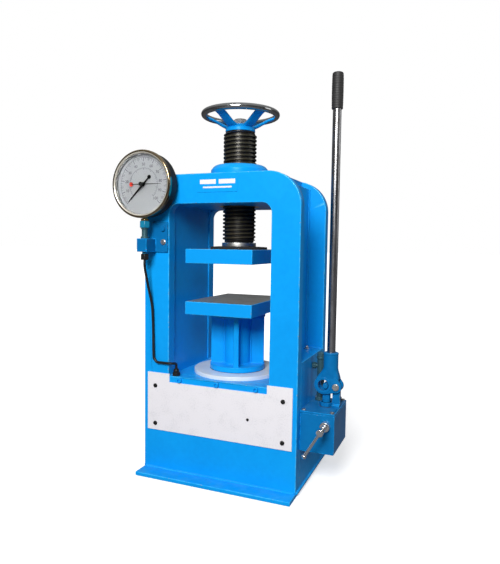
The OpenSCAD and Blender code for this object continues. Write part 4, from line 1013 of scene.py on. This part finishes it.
def cheek(front, back, bend=1.4, count=96):
    """One cheek of the lever's foot round its eye. The outline is the hull of six circles
    (x, z, r): with h(b) = max of (c - eye) . n(b) + r, its reach is min of h(b) / cos(a - b)."""
    discs = np.array([(EYE_X, EYE_Z, 27), (FULCRUM_X, FULCRUM_Z, 17), (302.8, 317, 20),
                      (335, 311, 15), (303, 334, 5), (333, 334, 5)])
    a = np.linspace(0, 2 * math.pi, count, endpoint=False)
    b = np.linspace(0, 2 * math.pi, 720, endpoint=False)
    off = discs[:, :2] - (EYE_X, EYE_Z)
    h = (off @ np.stack([np.cos(b), np.sin(b)]) + discs[:, 2:]).max(0)
    near = np.cos(a[:, None] - b[None, :])
    reach = np.where(near > 0.05, h / np.maximum(near, 0.05), 1e9).min(1)
    hole = np.full(count, EYE_HOLE)
    rings = [(hole, back), (hole, front + 0.6), (hole + 0.6, front), (reach - bend, front),
             (reach - bend * 0.3, front + bend * 0.3), (reach, front + bend), (reach, back - bend),
             (reach - bend * 0.3, back - bend * 0.3), (reach - bend, back), (hole, back)]
    return np.stack([np.stack([EYE_X + r * np.cos(a), np.full(count, y),
                               EYE_Z + r * np.sin(a)], -1) for r, y in rings])


def neck(low_z, high_z, count=64):
    """Foot of the socket, from a box over the cheeks to the round socket: half widths and the
    power of the section's cosines run smoothly from one to the other over the blend's height."""
    blend, box_left, box_right, radius = 34, 279.5, 345, 21.3
    z = np.concatenate([[low_z], np.linspace(low_z, low_z + blend, 14),
                        [high_z - 1.5, high_z, high_z]])
    s = np.clip((z - low_z) / blend, 0, 1)
    s = s * s * (3 - 2 * s)
    left = box_left + (LEVER[0] - radius - box_left) * s**0.75
    right = box_right + (LEVER[0] + radius - box_right) * s**0.75
    half_x, half_y, power = (right - left) / 2, 18 + (radius - 18) * s, 0.30 + 0.70 * s
    half_x[-2] -= 1.2
    half_y[-2] -= 1.2
    half_x[[0, -1]] = half_y[[0, -1]] = 0
    t = np.linspace(0, 2 * math.pi, count, endpoint=False)[None, :]
    wave = [np.sign(f(t)) * np.abs(f(t)) ** power[:, None] for f in (np.cos, np.sin)]
    middle = ((left + right) / 2)[:, None]
    return np.stack([middle + half_x[:, None] * wave[0], LEVER[1] + half_y[:, None] * wave[1],
                     np.repeat(z[:, None], count, 1)], -1)


def boss(x, z, inner, outer, y, lift):
    """Raised ring round a hole on a cheek's outer face."""
    return turned(rounded([(inner, y), (inner, y + lift), (outer - 1, y + lift), (outer, y),
                           (inner, y)], 0.7), (x, 0, z), (0, 1, 0), 72)


build("lever_socket_forged", [
    cheek(CHEEK_FRONT, CHEEK_FRONT + CHEEK), cheek(CHEEK_BACK - CHEEK, CHEEK_BACK),
    neck(330, socket_top),
    boss(EYE_X, EYE_Z, EYE_HOLE, 23.5, CHEEK_FRONT, -1.4),
    boss(EYE_X, EYE_Z, EYE_HOLE, 23.5, CHEEK_BACK, 1.4),
    boss(FULCRUM_X, FULCRUM_Z, PIN_R + RUNNING_GAP, 14, CHEEK_FRONT, -0.6),
    boss(FULCRUM_X, FULCRUM_Z, PIN_R + RUNNING_GAP, 14, CHEEK_BACK, 0.6),
    turned(rounded([(12.4, socket_top - 6), (21.9, socket_top - 6), (21.9, socket_top - 0.8),
                    (18, socket_top + 0.6), (12.4, socket_top + 0.6), (12.4, socket_top - 6)], 1.2),
           LEVER)], m["pump_enamel_shaded"], "lever_socket", ["lever_socket"])

# Grip: a slightly barrelled sleeve with grooves along its body, closed over the tube's end.
GRIP_BORE, GROOVES, grip_top = TUBE_OUT + RUNNING_GAP, 14, grip_high[2]
s = np.linspace(0, 1, 161)
z = grip_low[2] + (grip_top - 7 - grip_low[2]) * s
grooved = (np.cos(2 * math.pi * s * GROOVES) > 0.55) * (s > 0.05) * (s < 0.95)
body = 15.6 + 0.9 * np.sin(math.pi * s) ** 0.4 - 0.5 * grooved
grip_end = rounded([(body[-1], z[-1]), (15.4, grip_top - 2.5), (12, grip_top), (0, grip_top)], 2.0)
grip = np.concatenate([[(GRIP_BORE, z[0])], np.stack([body, z], -1), grip_end,
                       [(0, z[-1] + 1), (GRIP_BORE, z[-1]), (GRIP_BORE, z[0])]])
build("lever_grip_moulded", [turned(grip, LEVER)], m["grip_rubber"], "lever_grip", ["lever_grip"],
      sharp=50)

build("release_valve_turned", [turned(rounded([
    (0, -195), (8.6, -195), (10, -193.4), (10, -176.6), (8.6, -175), (7, -174), (7, -142),
    (12.6, -142), (14, -140.6), (14, -129.6), (13, -128.4), (7, -128.4), (7, -102),
    (0, -102)], 0.6),
    (VALVE_X, 0, VALVE_Z), (0, 1, 0), 72, ripple=(0.8, 24, -139.5, -130))],
    m["lit_chrome"], "release_valve", ["release_valve"])

# Tommy bar: a rod with a ball at either end. LOW_END and HIGH_END are the balls' middles along it.
lean = math.radians(30.7)
ROD_R, END_R, LOW_END, HIGH_END = 4.0, 6.5, -85.5, 16.5
end_ball = np.linspace(0, math.pi, 17)
neck_off = END_R * math.cos(math.asin(ROD_R / END_R))
lower_ball = np.stack([END_R * np.sin(end_ball), LOW_END - END_R * np.cos(end_ball)], -1)[:-3]
upper_ball = np.stack([END_R * np.sin(end_ball), HIGH_END - END_R * np.cos(end_ball)], -1)[3:]
build("tommy_bar_turned", [turned(np.concatenate([
    lower_ball, [(ROD_R, LOW_END + neck_off), (ROD_R, HIGH_END - neck_off)], upper_ball]),
    (VALVE_X, VALVE_Y, VALVE_Z), (math.sin(lean), 0, math.cos(lean)), 48)],
    m["lit_chrome"], "tommy_bar", ["tommy_bar"])


# ---------------------------------------------------------------- camera, floor and light

EYE = (0.669287, -1.554147, 0.713397)   # in metres
YAW, PITCH, ROLL = 22.054, -3.94, 0.801
LENS, SENSOR = 33.81, 36.0


def make_camera():
    """Camera whose view is turned by yaw, tipped by pitch and rolled, in degrees."""
    yaw, pitch, roll = (math.radians(a) for a in (YAW, PITCH, ROLL))
    ahead = Vector((-math.sin(yaw) * math.cos(pitch), math.cos(yaw) * math.cos(pitch),
                    math.sin(pitch)))
    right = Vector((math.cos(yaw), math.sin(yaw), 0))
    up = right.cross(ahead)
    turned_right = right * math.cos(roll) + up * math.sin(roll)
    turned_up = -right * math.sin(roll) + up * math.cos(roll)
    camera = bpy.data.objects.new("camera", bpy.data.cameras.new("camera"))
    camera.matrix_world = Matrix.Translation(EYE) @ Matrix(
        (turned_right, turned_up, -ahead)).transposed().to_4x4()
    camera.data.lens, camera.data.sensor_width = LENS, SENSOR
    camera.data.clip_end = 200.0
    bpy.context.scene.collection.objects.link(camera)
    bpy.context.scene.camera = camera


def make_floor():
    """Wide pale floor just under the base. Its glow, seen by the camera alone, rises with the
    distance from the press, so that the floor runs into the surround and still shows a shadow."""
    half, below = 60.0, -0.0003
    mesh = bpy.data.meshes.new("floor")
    corners = [(-half, -half), (half, -half), (half, half), (-half, half)]
    mesh.from_pydata([(x, y, below) for x, y in corners], [], [(0, 1, 2, 3)])
    floor = bpy.data.objects.new("floor", mesh)
    bpy.context.scene.collection.objects.link(floor)

    def paint(tree):
        away = add(tree, "VectorMath", {0: add(tree, "NewGeometry", out="Position")}, "Value",
                   operation="LENGTH")
        glow = ranged(tree, away, 0.5, 2.6, 0.42, 1.0)
        seen = add(tree, "LightPath", out="Is Camera Ray")
        return {"Base Color": mixed(tree, seen, (0.20, 0.20, 0.21, 1), (0.92, 0.92, 0.92, 1)),
                "Roughness": 0.9, "Specular IOR Level": 0.1, "Emission Color": (1, 1, 1, 1),
                "Emission Strength": math_of(tree, "MULTIPLY", seen, glow)}

    mesh.materials.append(material("floor pale", paint))


def area_light(name, at, towards, size, watts):
    """Square soft light of one size at a place, facing a point."""
    lamp = bpy.data.lights.new(name, "AREA")
    lamp.energy, lamp.size = watts, size
    light = bpy.data.objects.new(name, lamp)
    light.location = at
    light.rotation_mode = "QUATERNION"
    light.rotation_quaternion = (Vector(towards) - Vector(at)).to_track_quat("-Z", "Y")
    bpy.context.scene.collection.objects.link(light)


def make_light():
    """White surround, seen white and shining softer, with a key from the front and a weak light
    from the right."""
    world = bpy.data.worlds.new("studio")
    bpy.context.scene.world = world
    world.use_nodes = True
    tree = world.node_tree
    tree.nodes.clear()
    up = add(tree, "SeparateXYZ", {0: add(tree, "TexCoord", out="Generated")}, 2)
    dome = ranged(tree, up, 0.0, 0.9, 0.04, 0.50)
    seen = add(tree, "LightPath", out="Is Camera Ray")
    strength = add(tree, "Mix", {0: seen, 2: dome, 3: 1.0}, data_type="FLOAT")
    sky = add(tree, "Background", {"Color": (1, 1, 1, 1), "Strength": strength})
    tree.links.new(sky, tree.nodes.new("ShaderNodeOutputWorld").inputs[0])
    area_light("key", (0.5, -3.1, 2.2), (0, 0, 0.55), 1.2, 134)
    area_light("right", (3.0, 0.9, 1.5), (0, 0, 0.5), 1.2, 9)
    bpy.context.scene.view_settings.view_transform = "Standard"
    bpy.context.scene.view_settings.look = "None"


make_camera()
make_floor()
make_light()
